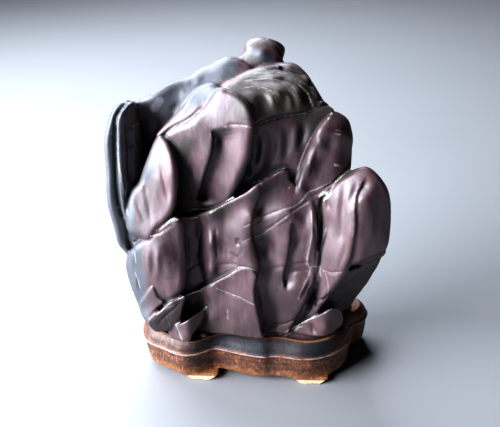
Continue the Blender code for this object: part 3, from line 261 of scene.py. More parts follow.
# ---------------------------------------------------------------- back lobes: outline, face, rim
# outline: (x, z) seen square from behind. face: (x, z, y).
BACK_LOBES = {
    "back_core": dict(rim=4, outline=[
        (-170, -20), (-170, 380), (170, 380), (170, -20)], face=[
        (-130, 240, 0), (-125, 285, -4), (-60, 300, 12), (-60, 200, 32), (-110, 150, 8), (-60, 70, 26),
        (0, 320, 30), (60, 300, 20), (30, 200, 50), (100, 240, 22), (110, 150, 14), (90, 60, 22),
        (30, 60, 34)]),
    "back_knob": dict(rim=11, outline=[
        (-24, 318), (-18, 340), (4, 352), (30, 352), (46, 340), (50, 318), (44, 296), (20, 280), (-8, 290),
        (-22, 304)], face=[
        (-18, 325, 34), (10, 318, 46), (42, 318, 40), (12, 290, 44), (10, 345, 38)]),
    "back_belly": dict(rim=9, outline=[
        (-30, 250), (-10, 290), (30, 305), (70, 292), (106, 262), (120, 215), (112, 165), (92, 120),
        (60, 88), (24, 82), (-6, 110), (-26, 160), (-36, 210)], face=[
        (30, 285, 48), (95, 240, 40), (-20, 230, 50), (30, 240, 59), (60, 180, 62), (30, 144, 68),
        (100, 180, 38), (30, 100, 56), (85, 125, 42)]),
    "back_wing": dict(rim=7, outline=[
        (-150, 270), (-128, 306), (-84, 318), (-40, 330), (-8, 322), (-22, 270), (-30, 200), (-44, 150),
        (-78, 134), (-112, 160), (-138, 200), (-150, 236)], face=[
        (-126, 270, 4), (-84, 296, 14), (-40, 312, 24), (-60, 240, 36), (-110, 210, 14), (-60, 170, 40),
        (-34, 220, 46)]),
    "back_heel": dict(rim=6, outline=[
        (-116, 168), (-70, 152), (-30, 138), (0, 112), (20, 84), (14, 40), (10, -20), (-130, -20),
        (-126, 60), (-122, 120)], face=[
        (-100, 130, 14), (-50, 120, 44), (-10, 100, 52), (-40, 60, 36), (-90, 60, 18), (0, 40, 34)]),
    "back_right_heel": dict(rim=6, outline=[
        (20, 92), (60, 96), (96, 122), (122, 150), (132, 110), (124, 50), (120, -20), (10, -20),
        (12, 50)], face=[
        (40, 84, 46), (90, 100, 36), (112, 110, 20), (60, 40, 26), (100, 50, 14)]),
}

# ---------------------------------------------------------------- the stone's foot and the stand, mm
# The foot's plan, where the stone goes down into its socket.
FOOT_PLAN = [(-106, -12), (-101, -22), (-89, -34.5), (-76, -43.5), (-63, -47.5), (-50, -43.5), (-40, -38),
             (-27, -37), (-12, -41), (4, -47), (18, -46), (34, -48), (54, -52.5), (70, -49), (80, -38),
             (84, -28), (86, -19.5), (93, -15), (102, -7), (105, 1), (98, 9), (84, 16), (60, 27), (30, 32),
             (0, 32), (-30, 34), (-50, 31), (-64, 27), (-82, 22), (-98, 12), (-106, 0)]
FOOT_BOTTOM = 31.0  # height of the stone's lowest face
FOOT_TOP = 44.0  # below this height the stone fills its socket
FLARE_START = 49.8  # height where the stone begins to widen above the stand
FLARE = 3.0  # how fast it may widen, mm outward for each mm of height

# The stand's plan along its raised bead line.
STAND_PLAN = [(-118, -20), (-112, -33), (-95, -45), (-78, -55.5), (-64, -56.5), (-52, -52), (-43, -48.5),
              (-31, -52.5), (-12, -60), (5, -65), (16, -64.5), (28, -67), (45, -71.5), (62, -70.5),
              (77, -65), (89, -55.5), (96, -46), (99, -36), (99, -28), (103, -21.5), (112, -17),
              (119, -9), (122, 1), (119, 11), (109, 20), (92, 31), (72, 42), (48, 48), (24, 46), (8, 44),
              (-10, 47), (-32, 50), (-52, 46), (-64, 40), (-76, 39), (-94, 34), (-110, 22), (-118, 6),
              (-120, -8)]
# The plan of the rim's outer edge, point for point beside the bead line.
RIM_PLAN = [(-111, -17), (-104, -28), (-90, -39), (-77, -49), (-63, -53), (-51, -49), (-42, -44),
            (-29, -42.5), (-12, -47), (5, -52.5), (17, -51.5), (29, -54), (46, -60.5), (62, -61),
            (75, -56), (85, -47.5), (91, -39), (92, -33), (89.5, -26), (96, -19.5), (106, -13.5),
            (112, -7), (114.5, 1), (111, 9), (102, 16), (87, 25), (69, 35), (46, 40), (24, 39), (8, 38),
            (-10, 40), (-32, 42.5), (-51, 39), (-62, 34.5), (-74, 32.5), (-90, 27), (-103, 17), (-111, 5),
            (-113, -7)]
# (height, how far inside the bead line): the band from its underside up to just above the bead.
BAND_PROFILE = [(6.0, 4.4), (8.0, 3.2), (16.0, 1.9), (27.0, 0.9), (33.4, 0.9), (35.0, -0.9), (36.6, -0.6),
                (37.8, 1.0)]
# (height, share of the way from the bead line in to the rim): the hollow curve above the bead.
COVE_PROFILE = [(43.0, 0.36), (47.0, 0.76), (48.8, 1.0)]
RIM_TOP = 49.2
RIM_ROUND = 1.6  # how far the top of the rim lies inside its outer edge
STAND_SMOOTHNESS = 10  # points between two plan points
CAD_STAND_SMOOTHNESS = 2  # the same in the plain solid of the stand
PLAN_SMOOTHNESS = 3  # the same where only the distance to a plan counts
SOCKET_EDGE = 45.5  # height of the inner edge of the rim's slope
SOCKET_FLOOR = FOOT_BOTTOM - GAP
# (x, y, length, width): bare wood feet under the band.
FEET = [(-57.5, -47.2, 19, 15), (55, -61.4, 19, 15), (88, 20, 26, 13), (-82, 21, 26, 13)]
FOOT_FLARE = 9.0  # how much further each end of a foot reaches at its top
FOOT_TURN = (-6, -4, -31, 14)  # degrees
STAND_VOXEL = 0.9  # grid of the stand's closed skin
STAND_ROWS = 5  # rows of points between two rings of the stand's profile
STAND_FACES = 190000
BEAD_CREST = (-0.8, 35.8)  # how far inside its line the bead's crest lies, and its height
FLAT_BELOW = 1.5  # the feet stay flat below this height

STONE_LOW, STONE_HIGH = (-160, -100, 22), (160, 90, 360)  # the block that the stone is cut from
STONE_STEP = 1.4  # grid of the carving
COARSE = 3  # how many of its steps the first, rough grid takes
BAND = 7.0  # how far from the skin the fine grid is exact
BATCH = 200000  # places worked out at a time
STONE_VOXEL = 1.4  # grid of its closed skin
STONE_FACES = 195000
FRONT_WELD, SIDE_WELD, BACK_WELD = 1.2, 1.5, 2.0  # how wide the creases between lobes are softened
END_ROUND = 9  # radius of the edge between front and back
SIDE_ROUND = 3  # radius of the edge between those two and the right side
FOOT_ROUND = 2  # radius of the edges at the foot
PLUG_ROUND, PLUG_WELD = 3, 4  # edge of the plug in the socket, and its crease with the stone above
OUTLINE_SMOOTHNESS = 5  # points between two outline points
STROKE_SMOOTHNESS = 4  # the same for strokes
# How far from its ends each kind of stroke comes to its full depth.
STROKE_FADE = {"fold": 12.0, "flute": 18.0, "ridge": 18.0, "crack": 9.0, "pit": 0.5}
FOLD_DROP = 0.9  # half the width of a fold's sharp side
LONGEST_FADE = 0.45  # share of a short stroke that the fade at one end may take
SHEET_MARGIN = 14  # sheet kept round a lobe's outline
FOOT_MARGIN = 90  # sheet kept round the foot's plan
SHEET_STEP = 0.75  # grid of the sheets
LAST_CELL = 1.001  # a place past the sheet is read in its last cell
FRONT_SHEET, SIDE_SHEET, BACK_SHEET = ((0, 0), (312, 366)), ((312, 0), (500, 427)), ((-180, 20), (180, 380))
BEND_SCALE = 50.0  # distances on a bent sheet are measured in this many mm
GIVE = 0.02  # how loosely a bent sheet follows its points
PROBE, LONGEST_SLIDE = 0.3, 0.8  # how far a point feels for the skin, and may slide to it
SLOPES = (0.5, 2)  # slopes of the field that are believed

# ---------------------------------------------------------------- weathering, mm
# the hollow and recess marks become painted shade in the stone's finish
HOLLOW_REACH = {"hollow": 5.0, "recess": 16.0}  # how far out each mark looks for more stone
GRAIN_CELLS = 32  # after so many cells the soft unevenness repeats
STONE_SEEDS, WOOD_SEEDS = (5, 7, 11), (21, 23)
# (spacing, height) of the unevenness
STONE_SWELL, STONE_RIPPLE = ((15, 15, 30), 0.5), ((6, 6, 15), 0.28)
CHIP_PATCHES, BROKEN_SKIN = (7, 0.3), (1.8, 0.5)
TOOL_MARKS, WOOD_PORES = ((14, 14, 9), 0.22), (2.2, 0.07)
# (strength along a path, how much of it is lost over the path's width)
CHIP_EDGE, VEIN_EDGE, STAIN_EDGE = (1.25, 0.5), (1.4, 0.6), (1.6, 1)
# The front's marks end at this y, and ever sooner right of this x.
FRONT_DEPTH, FRONT_CORNER, FRONT_SLANT = 20, 40, 0.9
BACK_HALF_WIDTH = 104  # seams on the back stay within this x
LEFT_END, LEFT_END_FADE = -92, 16  # the slate skin of the left end begins at this x

# ---------------------------------------------------------------- flutes, folds, ridges and cracks
# Each stroke is (kind, points on its sheet, width, depth), in mm. A flute is hollow, a ridge stands
# proud, a crack is narrow, and a fold drops sharply on the right of someone walking down its points,
# then rises again over its width.
FRONT_STROKES = [
    # the deep crease of the middle face, and what lies to its left
    ("fold", [(164, 153), (166, 165), (163, 173), (159, 188), (158, 204), (161, 217), (165, 230), (164, 242),
              (161, 256), (161, 268), (163, 280), (166, 292), (168, 307)], 26, 5.4),
    ("flute", [(99, 190), (98, 214), (100, 240), (98, 258)], 15.6, 1.2),
    ("ridge", [(113, 186), (115, 200), (117, 218), (118, 238), (116, 250)], 5.5, 1.6),
    ("crack", [(109, 192), (105, 212), (104, 226)], 1.4, 0.5),
    ("crack", [(122, 194), (122, 212), (124, 230)], 1.6, 1.4),
    ("crack", [(134, 214), (133, 222), (135, 231)], 1.8, 0.7),
    ("ridge", [(143, 186), (140, 206), (139, 228)], 14.3, 0.8),
    ("flute", [(127, 190), (128, 208), (130, 228)], 6.5, 0.7),
    ("crack", [(149, 197), (162, 191), (172, 185.5), (181, 182), (191, 179)], 1.5, 0.8),
    ("crack", [(146, 212), (152, 211), (158, 207), (167, 204), (176, 198), (186, 191), (196, 184),
               (214, 172)], 1.5, 0.8),
    ("pit", [(143.5, 208), (144, 215)], 2.2, 2),
    ("crack", [(147, 213), (148, 221), (141, 228), (131, 233)], 1.4, 0.5),
    ("crack", [(120, 234.5), (131, 234), (140, 233.5), (150, 237), (165, 240), (180, 238), (200, 234),
               (213, 232), (223, 236)], 1.6, 0.8),
    ("crack", [(122, 258), (133, 262), (145, 266), (153, 270.5), (162, 275)], 1.6, 0.8),
    ("flute", [(123, 258), (124, 275), (128, 290)], 4.4, 0.8),
    ("crack", [(133, 276), (132, 290)], 1.4, 0.7),
    ("flute", [(146, 276), (148, 296)], 6.5, 0.6),
    ("flute", [(176, 205), (176, 222), (175, 234)], 7.8, 0.9),
    ("flute", [(172, 244), (171, 262), (173, 280)], 7.8, 1),
    ("ridge", [(183, 242), (182, 262), (181, 284)], 10.4, 0.7),
    ("fold", [(198, 188), (196, 212), (193, 232), (190, 246), (192, 262)], 15, 4.6),
    ("flute", [(209, 176), (211, 190), (209, 206)], 6.5, 1.6),
    ("ridge", [(217, 168), (218, 190), (218, 206), (215, 222), (214, 236), (217, 246)], 3.1, 1.1),
    ("fold", [(217, 247), (211, 258), (204, 270)], 10, 3.2),
    ("crack", [(226, 166), (226, 184), (225.5, 200), (226, 208), (223, 222)], 2.5, 3),
    ("crack", [(233, 198), (228.5, 212), (225.5, 228), (223, 248)], 1.8, 2),
    ("crack", [(219, 190), (222, 206), (222, 222), (221, 246), (219, 264), (222, 280)], 1.8, 1.4),
    # the right lobe
    ("crack", [(62, 297), (68, 289), (76, 282), (88, 271)], 1.3, 1.2),
    ("flute", [(214, 292), (219, 298), (222, 305)], 3.5, 2.2),
    ("fold", [(273, 145), (268, 155), (263, 166), (262, 180), (262.5, 192), (261, 206), (259, 218),
              (256, 230), (250, 240)], 12, 2.6),
    ("flute", [(263, 147), (262, 158), (258, 170), (255, 184)], 6, 2),
    ("flute", [(251, 150), (250, 172), (248, 196), (247, 216)], 5.7, 1.1),
    ("ridge", [(246, 158), (242, 178), (240, 200)], 5.2, 0.7),
    ("crack", [(232, 166), (234, 174), (235, 180)], 2, 1.2),
    ("flute", [(234, 182), (236, 196), (233, 206)], 4.4, 1),
    ("flute", [(274, 176), (272, 196), (270, 222)], 5.7, 0.9),
    ("flute", [(283, 160), (284, 190), (281, 216)], 5.2, 0.6),
    ("crack", [(230, 240.5), (239, 242.5), (249, 241)], 1.6, 1),
    ("crack", [(250, 240), (262, 235), (272, 230), (283, 225.5), (295, 221)], 1.8, 1.3),
    ("crack", [(286, 185), (292, 191)], 1.4, 0.5),
    ("ridge", [(262, 258), (275, 249), (287, 241)], 3.4, 0.6),
    ("flute", [(254, 250), (268, 242), (284, 234)], 6.5, 0.8),
    # the upper right lobe
    ("fold", [(224, 110), (221, 124), (217, 140), (212, 152)], 14, 1.4),
    ("ridge", [(244, 106), (241, 126), (236, 147)], 7.8, 1),
    ("crack", [(209, 132), (204, 148), (199, 166)], 2.3, 1),
    ("ridge", [(213, 132), (209, 148), (208, 161)], 4.4, 0.8),
    ("crack", [(214, 160.5), (222, 159), (230, 157), (237, 152)], 1.4, 0.7),
    ("flute", [(252, 108), (251, 122), (247, 136)], 4.4, 0.7),
    # the cap
    ("ridge", [(176, 34), (192, 35), (206, 40), (216, 49), (222, 60), (224, 71)], 2.6, 0.9),
    ("flute", [(172, 37.5), (190, 39), (203, 43.5), (212, 51), (217, 60), (220, 72)], 2.6, 1.0),
    ("ridge", [(164, 46), (182, 47), (195, 51), (203, 57), (209, 66), (212, 80)], 3.0, 0.9),
    ("flute", [(158, 50), (178, 52), (190, 56), (197, 63), (200, 72), (201, 84)], 3.4, 1.0),
    ("ridge", [(152, 54), (170, 56), (182, 60), (187, 67), (189, 80)], 3.4, 0.8),
    ("flute", [(146, 58), (162, 61), (171, 66), (177, 76), (178, 86)], 3.6, 0.9),
    ("fold", [(170, 39), (190, 41), (206, 44), (216, 48), (222, 55), (226, 63), (227, 71)], 5, 1.5),
    ("fold", [(220, 80), (217, 71), (212.5, 61.5), (205, 54.5), (194, 49), (180, 45)], 9, 2.2),
    ("ridge", [(196, 56), (203, 61), (206, 70), (208, 84)], 5, 1.2),
    ("flute", [(192, 58), (190, 72), (190, 88)], 7, 1.5),
    ("ridge", [(174, 60), (178, 70), (181, 84)], 5.7, 1),
    ("flute", [(164, 58), (169, 72), (172, 90)], 8, 1.3),
    ("ridge", [(196, 62), (198, 74), (198, 84)], 3.9, 0.5),
    ("crack", [(146, 48), (168, 51), (186, 57), (198, 62)], 2, 0.4),
    ("crack", [(152, 44), (172, 46), (190, 51), (204, 57)], 2, 0.4),
    ("crack", [(160, 41), (182, 43), (200, 46), (214, 52)], 2, 0.4),
    ("crack", [(148, 54), (166, 58), (178, 64)], 2, 0.4),
    ("crack", [(158, 97), (170, 91), (182, 87.5), (196, 85), (210, 83), (219, 79), (226, 74.5)], 1.8, 1.1),
    # the face under the cap
    ("flute", [(163, 100), (162, 122), (158, 142)], 6, 2.4),
    ("ridge", [(171, 98), (169, 122), (166, 146)], 5.7, 1.4),
    ("flute", [(179, 96), (178, 118), (174, 142)], 5.7, 2),
    ("ridge", [(186, 92), (186, 114), (183, 138)], 5.2, 1.4),
    ("flute", [(193, 90), (193, 112), (190, 134)], 5.7, 2.4),
    ("ridge", [(203, 88), (202, 106), (199, 128)], 5.2, 1.7),
    ("flute", [(210, 86), (209, 102), (204, 122)], 5.7, 3.1),
    ("crack", [(155, 130), (154.5, 140), (156, 148)], 2.9, 3.1),
    # the knuckle
    ("fold", [(118, 98), (119.5, 110), (117.5, 124), (112, 140), (106, 158), (101, 172)], 30, 12),
    ("ridge", [(150, 98), (152, 112), (149, 128), (142, 146), (133, 166)], 7.8, 1),
    ("crack", [(130, 96.5), (138, 94.5), (148, 95), (158.5, 97.5)], 1.8, 1.1),
    ("flute", [(101, 106), (98, 128), (91, 150)], 10.4, 1.8),
    ("crack", [(92, 140), (96, 146), (99, 152)], 1.4, 0.5),
    # the left pillar
    ("flute", [(66, 128), (69, 146), (73, 163), (77, 178)], 3.9, 1.2),
    ("flute", [(51, 142), (52, 160), (56, 182), (57, 196)], 4.4, 1.2),
    ("flute", [(39, 158), (43, 170), (49, 186), (52, 200)], 4.2, 1.1),
    ("ridge", [(60, 140), (61, 162), (63, 184)], 5.2, 0.6),
    ("flute", [(80, 116), (84, 134), (83, 160)], 5.2, 1),
    # the left lobe
    ("crack", [(56, 205.5), (68, 201.5), (76, 196), (83, 190)], 1.6, 1.1),
    ("ridge", [(53, 208), (53, 228), (55, 250)], 4.4, 0.8),
    ("flute", [(58, 216), (59, 234), (58, 254)], 4.7, 1.4),
    ("ridge", [(63, 214), (64, 232), (64, 250)], 3.9, 0.7),
    ("flute", [(70, 216), (68, 238), (68, 262)], 6.5, 1.3),
    ("ridge", [(85, 228), (86, 246), (82, 264)], 3.9, 0.7),
    ("crack", [(66, 249.5), (78, 249), (89, 249)], 1.6, 0.7),
    ("crack", [(72, 238), (80, 231), (87, 224)], 1.5, 0.7),
    ("crack", [(38, 211), (40, 221), (42, 233)], 1.6, 1),
    ("crack", [(41, 242), (44, 248), (45, 258), (50, 266)], 1.6, 1),
    ("crack", [(60, 261), (65, 267), (71, 272)], 1.6, 1),
    ("pit", [(41, 210), (42, 212)], 2.6, 2.4),
    # the thin plates at the far left
    ("crack", [(31, 73), (22, 86), (21.5, 98), (21, 112), (22, 150), (25, 174), (30, 190)], 2, 1.6),
    ("fold", [(31, 92), (32, 116), (33, 140), (35, 156)], 10, 3),
    ("crack", [(30, 118), (37, 115), (43, 112)], 1.4, 0.6),
    ("ridge", [(56, 68), (59, 78), (62, 92)], 4.4, 1),
    ("flute", [(48, 74), (50, 88), (51, 104)], 9.1, 1.6),
    ("flute", [(74, 84), (82, 76), (86, 68)], 5.2, 1.3),
    ("flute", [(96, 48), (100, 56)], 5.2, 0.8),
    # the lowest pieces
    ("crack", [(58, 290), (66, 280), (77, 273)], 1.6, 1),
    ("crack", [(62, 284), (70, 279), (80, 276)], 1.4, 0.7),
    ("crack", [(72, 286), (76, 293)], 1.4, 0.7),
    ("crack", [(84, 294), (87, 308)], 1.4, 0.6),
    ("crack", [(216, 290), (221, 300)], 1.6, 0.7),
    ("crack", [(221, 268), (222, 280)], 1.6, 0.7),
]
SIDE_STROKES = [
    # the long seam between the upper right lobe and the back
    ("crack", [(374, 113), (392, 138), (412, 162), (428, 186), (431, 215), (430, 262)], 1.9, 1.8),
    ("fold", [(380, 120), (394, 138), (410, 158), (424, 178)], 9, 1.6),
    # the seams round the right lobe
    ("crack", [(374, 198.5), (398, 224), (429, 262)], 1.5, 1.3),
    ("crack", [(357, 316), (392, 292), (429, 269.6)], 1.0, 1.0),
    ("crack", [(352, 203), (362, 200), (374, 198.5)], 1.6, 1.6),
    # the dark end of the cap
    ("crack", [(437, 77), (428, 90), (415, 99), (389, 107)], 1.1, 1.0),
    ("crack", [(411, 47), (400, 62), (393, 78), (390, 94), (388, 106)], 1.3, 1.2),
    ("crack", [(411, 46), (424, 56), (434, 68), (446, 82), (458, 96)], 1.2, 1.0),
    ("pit", [(371, 93), (371, 104)], 2.6, 2.6),
    ("ridge", [(366, 84), (367, 96), (368, 106)], 3.5, 1.0),
    ("flute", [(350, 78), (352, 90), (354, 100)], 4, 1.2),
    # the back of the right side: a hollow with a sharp far edge, and a swelling below it
    ("flute", [(398, 118), (406, 134), (414, 150), (420, 166)], 9, 4.4),
    ("ridge", [(425, 104), (428, 124), (428, 144), (425, 162)], 5, 2.2),
    ("flute", [(438, 112), (442, 140), (444, 168)], 12, 1.6),
    ("flute", [(432, 180), (436, 196), (438, 214)], 5, 2.2),
    ("ridge", [(442, 186), (449, 196), (448, 210)], 6, 1.8),
    # hollows in the upper right lobe
    ("flute", [(369, 134), (366, 148), (369, 162), (375, 174)], 8, 3.0),
    ("flute", [(374, 138), (380, 152), (380, 166)], 8, 1.2),
    ("crack", [(370, 205), (384, 236), (397, 262), (406, 282)], 1.2, 0.5),
    ("ridge", [(384, 226), (390, 244), (397, 260)], 12, 1.0),
    ("ridge", [(376, 330), (388, 352), (400, 372)], 14, 1.2),
    ("crack", [(432, 272), (436, 300), (441, 340), (440, 372)], 2.0, 1.4),
]
# The same on the plain back: points are (x, z).
BACK_STROKES = [
    ("flute", [(34, 290), (42, 244), (38, 192), (30, 130)], 13, 3.4),
    ("ridge", [(62, 284), (72, 238), (70, 188), (58, 126)], 9, 2.4),
    ("flute", [(84, 266), (94, 222), (92, 176), (80, 132)], 9, 2.6),
    ("ridge", [(8, 282), (14, 236), (10, 186), (12, 128)], 8, 2.0),
    ("flute", [(-8, 262), (-4, 226), (-6, 180), (4, 132)], 8, 2.4),
    ("ridge", [(-66, 306), (-58, 262), (-62, 214), (-72, 164)], 9, 2.6),
    ("flute", [(-92, 302), (-86, 258), (-94, 214), (-102, 178)], 11, 3.4),
    ("flute", [(-38, 318), (-34, 280), (-40, 232), (-52, 178)], 8, 2.6),
    ("ridge", [(-112, 290), (-112, 250), (-120, 208)], 7, 1.6),
    ("crack", [(-24, 238), (-4, 228), (24, 222), (50, 230), (78, 228), (110, 240)], 1.6, 1.4),
    ("crack", [(-142, 250), (-116, 236), (-90, 234), (-60, 222), (-30, 216)], 1.6, 1.4),
    ("crack", [(-20, 168), (6, 170), (34, 184), (70, 192), (114, 208)], 1.5, 1.2),
    ("crack", [(44, 300), (52, 276), (50, 250), (58, 228)], 1.4, 1.0),
    ("flute", [(-86, 142), (-80, 104), (-86, 62)], 11, 3.0),
    ("ridge", [(-54, 134), (-46, 100), (-50, 62)], 9, 2.2),
    ("flute", [(-22, 120), (-20, 90), (-26, 60)], 8, 2.4),
    ("crack", [(-120, 114), (-92, 102), (-60, 98), (-34, 88), (6, 84)], 1.6, 1.4),
    ("flute", [(56, 94), (62, 74), (58, 56)], 8, 2.0),
    ("crack", [(26, 66), (52, 80), (84, 84), (112, 98)], 1.5, 1.2),
]
# Mineral seams on the back: points are (x, z), width in mm.
BACK_SEAMS = [
    ([(-24, 238), (-4, 228), (24, 222), (50, 230)], 1.0),
    ([(-142, 250), (-116, 236), (-90, 234), (-60, 222)], 0.9),
    ([(34, 184), (70, 192), (114, 208)], 0.7),
    ([(-92, 102), (-60, 98), (-34, 88)], 0.8),
    ([(52, 80), (84, 84), (112, 98)], 0.7),
    ([(-30, 214), (-34, 180), (-42, 150)], 1.6),
    ([(-116, 166), (-78, 138), (-44, 148)], 1.3),
]
# Seams on the right side with pale and olive mineral in them: points on the side sheet, width in mm.
SIDE_SEAMS = [
    ([(374, 113), (379, 121), (386, 129)], 2.6),
    ([(386, 129), (400, 147), (411, 161), (419, 172)], 1.0),
    ([(374, 112), (384, 110)], 1.6),
    ([(430, 196), (431, 206), (430, 218)], 2.6),
    ([(423, 180), (425, 192)], 0.7),
    ([(374, 199), (386, 208), (398, 224), (412, 240)], 1.1),
    ([(352, 203), (362, 200), (374, 198.5)], 1.8),
    ([(424, 252), (430, 260), (431, 270)], 2.6),
    ([(340, 107), (350, 109), (362, 111), (376, 110), (388, 107)], 1.0),
    ([(389, 107), (404, 103), (416, 99), (428, 90), (437, 77)], 0.9),
    ([(411, 46), (424, 56), (434, 68), (444, 79)], 0.6),
    ([(398, 44), (404, 46), (412, 45)], 1.6),
    ([(383, 35), (392, 40), (400, 46)], 1.2),
    ([(385, 24), (384, 50), (381, 78), (378, 104)], 0.5),
    ([(354, 22), (368, 30), (382, 42)], 0.7),
    ([(345, 39), (360, 43), (376, 42), (392, 46)], 0.7),
    ([(354, 143), (357, 148), (355, 152)], 0.9),
    ([(370, 206), (380, 224), (390, 244), (402, 262)], 0.5),
    ([(392, 258), (402, 270), (404, 282)], 0.4),
    ([(357, 316), (370, 308), (384, 299)], 0.5),
    ([(432, 262), (438, 270), (446, 280)], 1.2),
    ([(434, 290), (436, 310), (440, 336)], 0.6),
    ([(366, 332), (378, 322), (396, 306)], 0.4),
]
# Edges where the stone is chipped to pale crystal: points on the front sheet, and the width in mm.
CHIPPED_EDGES = [
    ([(86, 181), (100, 179), (118, 177)], 1.0),
    ([(82, 189), (98, 188), (115, 183), (130, 174), (138, 169), (150, 163), (160, 152)], 1.1),
    ([(128, 174), (140, 167), (150, 160)], 1.6),
    ([(160, 152), (175, 147), (184, 142), (191, 137)], 0.8),
    ([(62, 200), (70, 195), (80, 187)], 1.2),
    ([(56, 206), (68, 202), (82, 190)], 0.7),
    ([(226, 166), (240, 155), (250, 144), (262, 138.5)], 2.2),
    ([(230, 170), (238, 162), (246, 152)], 1.4),
    ([(234, 88), (238, 83)], 1.6),
    ([(239, 103), (246, 104)], 1.0),
    ([(84, 268), (100, 262), (113, 259), (120, 253), (130, 249), (138, 243), (146, 237)], 1.0),
    ([(182, 307), (192, 301.5), (203, 295), (214, 289), (226, 284.5), (237, 279)], 1.3),
    ([(188, 307), (198, 301.5), (209, 295.5)], 0.9),
    ([(241, 134), (252, 138), (256, 140)], 1.2),
    ([(75, 297), (88, 291), (98, 287), (113, 276)], 0.9),
    ([(194, 160), (203, 142), (211, 124), (217, 108)], 0.6),
]
# Thin mineral veins, and pale lines painted along crests as highlights: points on the front sheet, and the
# width in mm.
VEINS_AND_HIGHLIGHTS = [
    ([(149, 197), (162, 191), (172, 185.5), (181, 182), (191, 179)], 0.7),
    ([(148, 212), (158, 207), (167, 204), (176, 198), (186, 191), (196, 184), (206, 177), (214, 172)], 0.7),
    ([(190, 179), (200, 176), (208, 170), (214, 162), (224, 158), (237, 152)], 0.8),
    ([(130, 96.5), (138, 94.5), (148, 95), (158.5, 97.5)], 0.5),
    ([(122, 258), (133, 262), (145, 266), (153, 270.5), (162, 275)], 0.5),
    ([(146, 237), (152, 237), (165, 241), (172, 242)], 0.6),
    ([(217, 180), (218, 200), (216, 215), (213, 230), (216, 240), (212, 250), (204, 269)], 0.7),
    ([(224, 215), (225, 236), (224, 250)], 0.8),
    ([(197, 190), (196, 212), (192, 235), (190, 245)], 0.5),
    ([(232, 198), (228, 212), (226, 232), (227, 246)], 0.6),
    ([(216, 237), (224, 236), (232, 241), (248, 242)], 0.5),
    ([(232, 243), (234, 262), (230, 272)], 0.5),
    ([(39, 211), (41, 222), (42, 233)], 0.5),
    ([(41, 242), (44, 250), (46, 258)], 0.4),
    ([(72, 286), (76, 296)], 0.5),
    ([(58, 290), (66, 281), (77, 273)], 0.6),
    ([(62, 284), (70, 279), (80, 275)], 0.5),
    ([(82, 294), (85, 302), (88, 309)], 0.7),
    ([(133, 276), (134, 290)], 0.4),
    ([(158, 97), (170, 91), (182, 87.5), (196, 85), (210, 83), (219, 79), (226, 74.5)], 0.5),
    ([(24, 90), (23, 112), (26, 140), (30, 165)], 0.6),
    ([(31, 74), (23, 87), (22, 98)], 0.5),
    ([(41, 113), (45, 130), (48, 146)], 0.5),
    ([(32, 158), (32, 172), (34, 184)], 0.8),
    ([(205, 54.5), (212, 61.5), (217, 71), (219.5, 78)], 0.5),
    ([(170, 37), (158, 41), (144, 46)], 0.8),
    ([(222, 53), (227, 62), (228.5, 70)], 0.5),
    ([(105, 80), (96, 88), (84, 96), (72, 103)], 0.9),
    ([(150, 51), (170, 48), (188, 51), (200, 58), (207, 72)], 0.35),
    ([(160, 43), (182, 42), (200, 46), (212, 55), (217, 70)], 0.35),
    ([(147, 58), (164, 56), (178, 61), (185, 76)], 0.35),
]
# Broad stains: points on the front sheet, and the width in mm.
STAINS = {
    "olive": [
        ([(142, 54), (162, 46), (184, 42), (204, 46), (218, 60)], 8),
        ([(148, 62), (168, 58), (190, 56), (206, 64), (216, 72)], 9),
        ([(150, 78), (168, 74), (190, 70), (212, 68)], 12),
        ([(162, 12), (176, 13), (188, 22)], 3.5),
        ([(141, 30), (154, 28), (166, 31)], 4),
        ([(92, 110), (88, 130), (86, 158)], 5),
        ([(92, 182), (104, 181), (118, 179)], 4),
        ([(60, 150), (52, 176), (50, 190)], 3),
        ([(205, 88), (218, 86), (231, 80)], 6),
        ([(216, 90), (209, 104), (205, 118)], 4),
    ],
    "slate": [
        ([(26, 80), (21, 110), (24, 150), (30, 200)], 13),
        ([(46, 82), (46, 110), (46, 140)], 13),
        ([(62, 66), (84, 56), (110, 42), (132, 36)], 11),
        ([(66, 84), (84, 72), (100, 66), (118, 58)], 9),
        ([(152, 18), (162, 22), (174, 28)], 5),
        ([(38, 240), (44, 268)], 5),
    ],
    "bloom": [
        ([(60, 78), (66, 70)], 4),
        ([(184, 12), (191, 19), (192, 29)], 3),
        ([(184, 35), (190, 32), (197, 33)], 2.5),
    ],
    "specks": [
        ([(58, 60), (72, 57), (86, 55)], 7),
        ([(122, 52), (136, 48), (152, 46)], 8),
        ([(160, 54), (184, 60), (206, 66)], 7),
        ([(240, 104), (250, 110)], 4),
        ([(72, 98), (90, 88), (106, 76)], 5),
    ],
}

PICTURE_WIDTH, SENSOR_WIDTH = 500, 36.0
# (name, place, aim, size, power in watts, colour), in metres
LIGHTS = [
    ("window", (-1.72, -0.52, 0.99), (0, 0, 0.17), (1.8, 1.6), 198, (0.84, 0.89, 1.0)),
    ("sky panel", (-0.60, 1.04, 1.37), (0, 0, 0.2), (1.6, 0.8), 58, (0.80, 0.88, 1.0)),
]
ROOM_COLOUR, ROOM_STRENGTH = (0.80, 0.86, 1.0, 1), 0.02
FLOOR_SIZE = 8


# ---------------------------------------------------------------- outlines, paths and sheets
def smooth_path(points, between, closed):
    """A finer row on a smooth curve through the points, which may also be whole rings of points."""
    row = np.array(points, float)
    if closed:
        padded = np.concatenate([row[-1:], row, row[:2]])
    else:
        padded = np.concatenate([2 * row[:1] - row[1:2], row, 2 * row[-1:] - row[-2:-1]])
    before, here, after, beyond = padded[:-3], padded[1:-2], padded[2:-1], padded[3:]
    steps = [0.5 * (2 * here + (after - before) * t
                    + (2 * before - 5 * here + 4 * after - beyond) * t ** 2
                    + (3 * here - before - 3 * after + beyond) * t ** 3)
             for t in np.arange(between) / between]
    curve = np.stack(steps, 1).reshape(-1, *row.shape[1:])
    return curve if closed else np.concatenate([curve, row[-1:]])


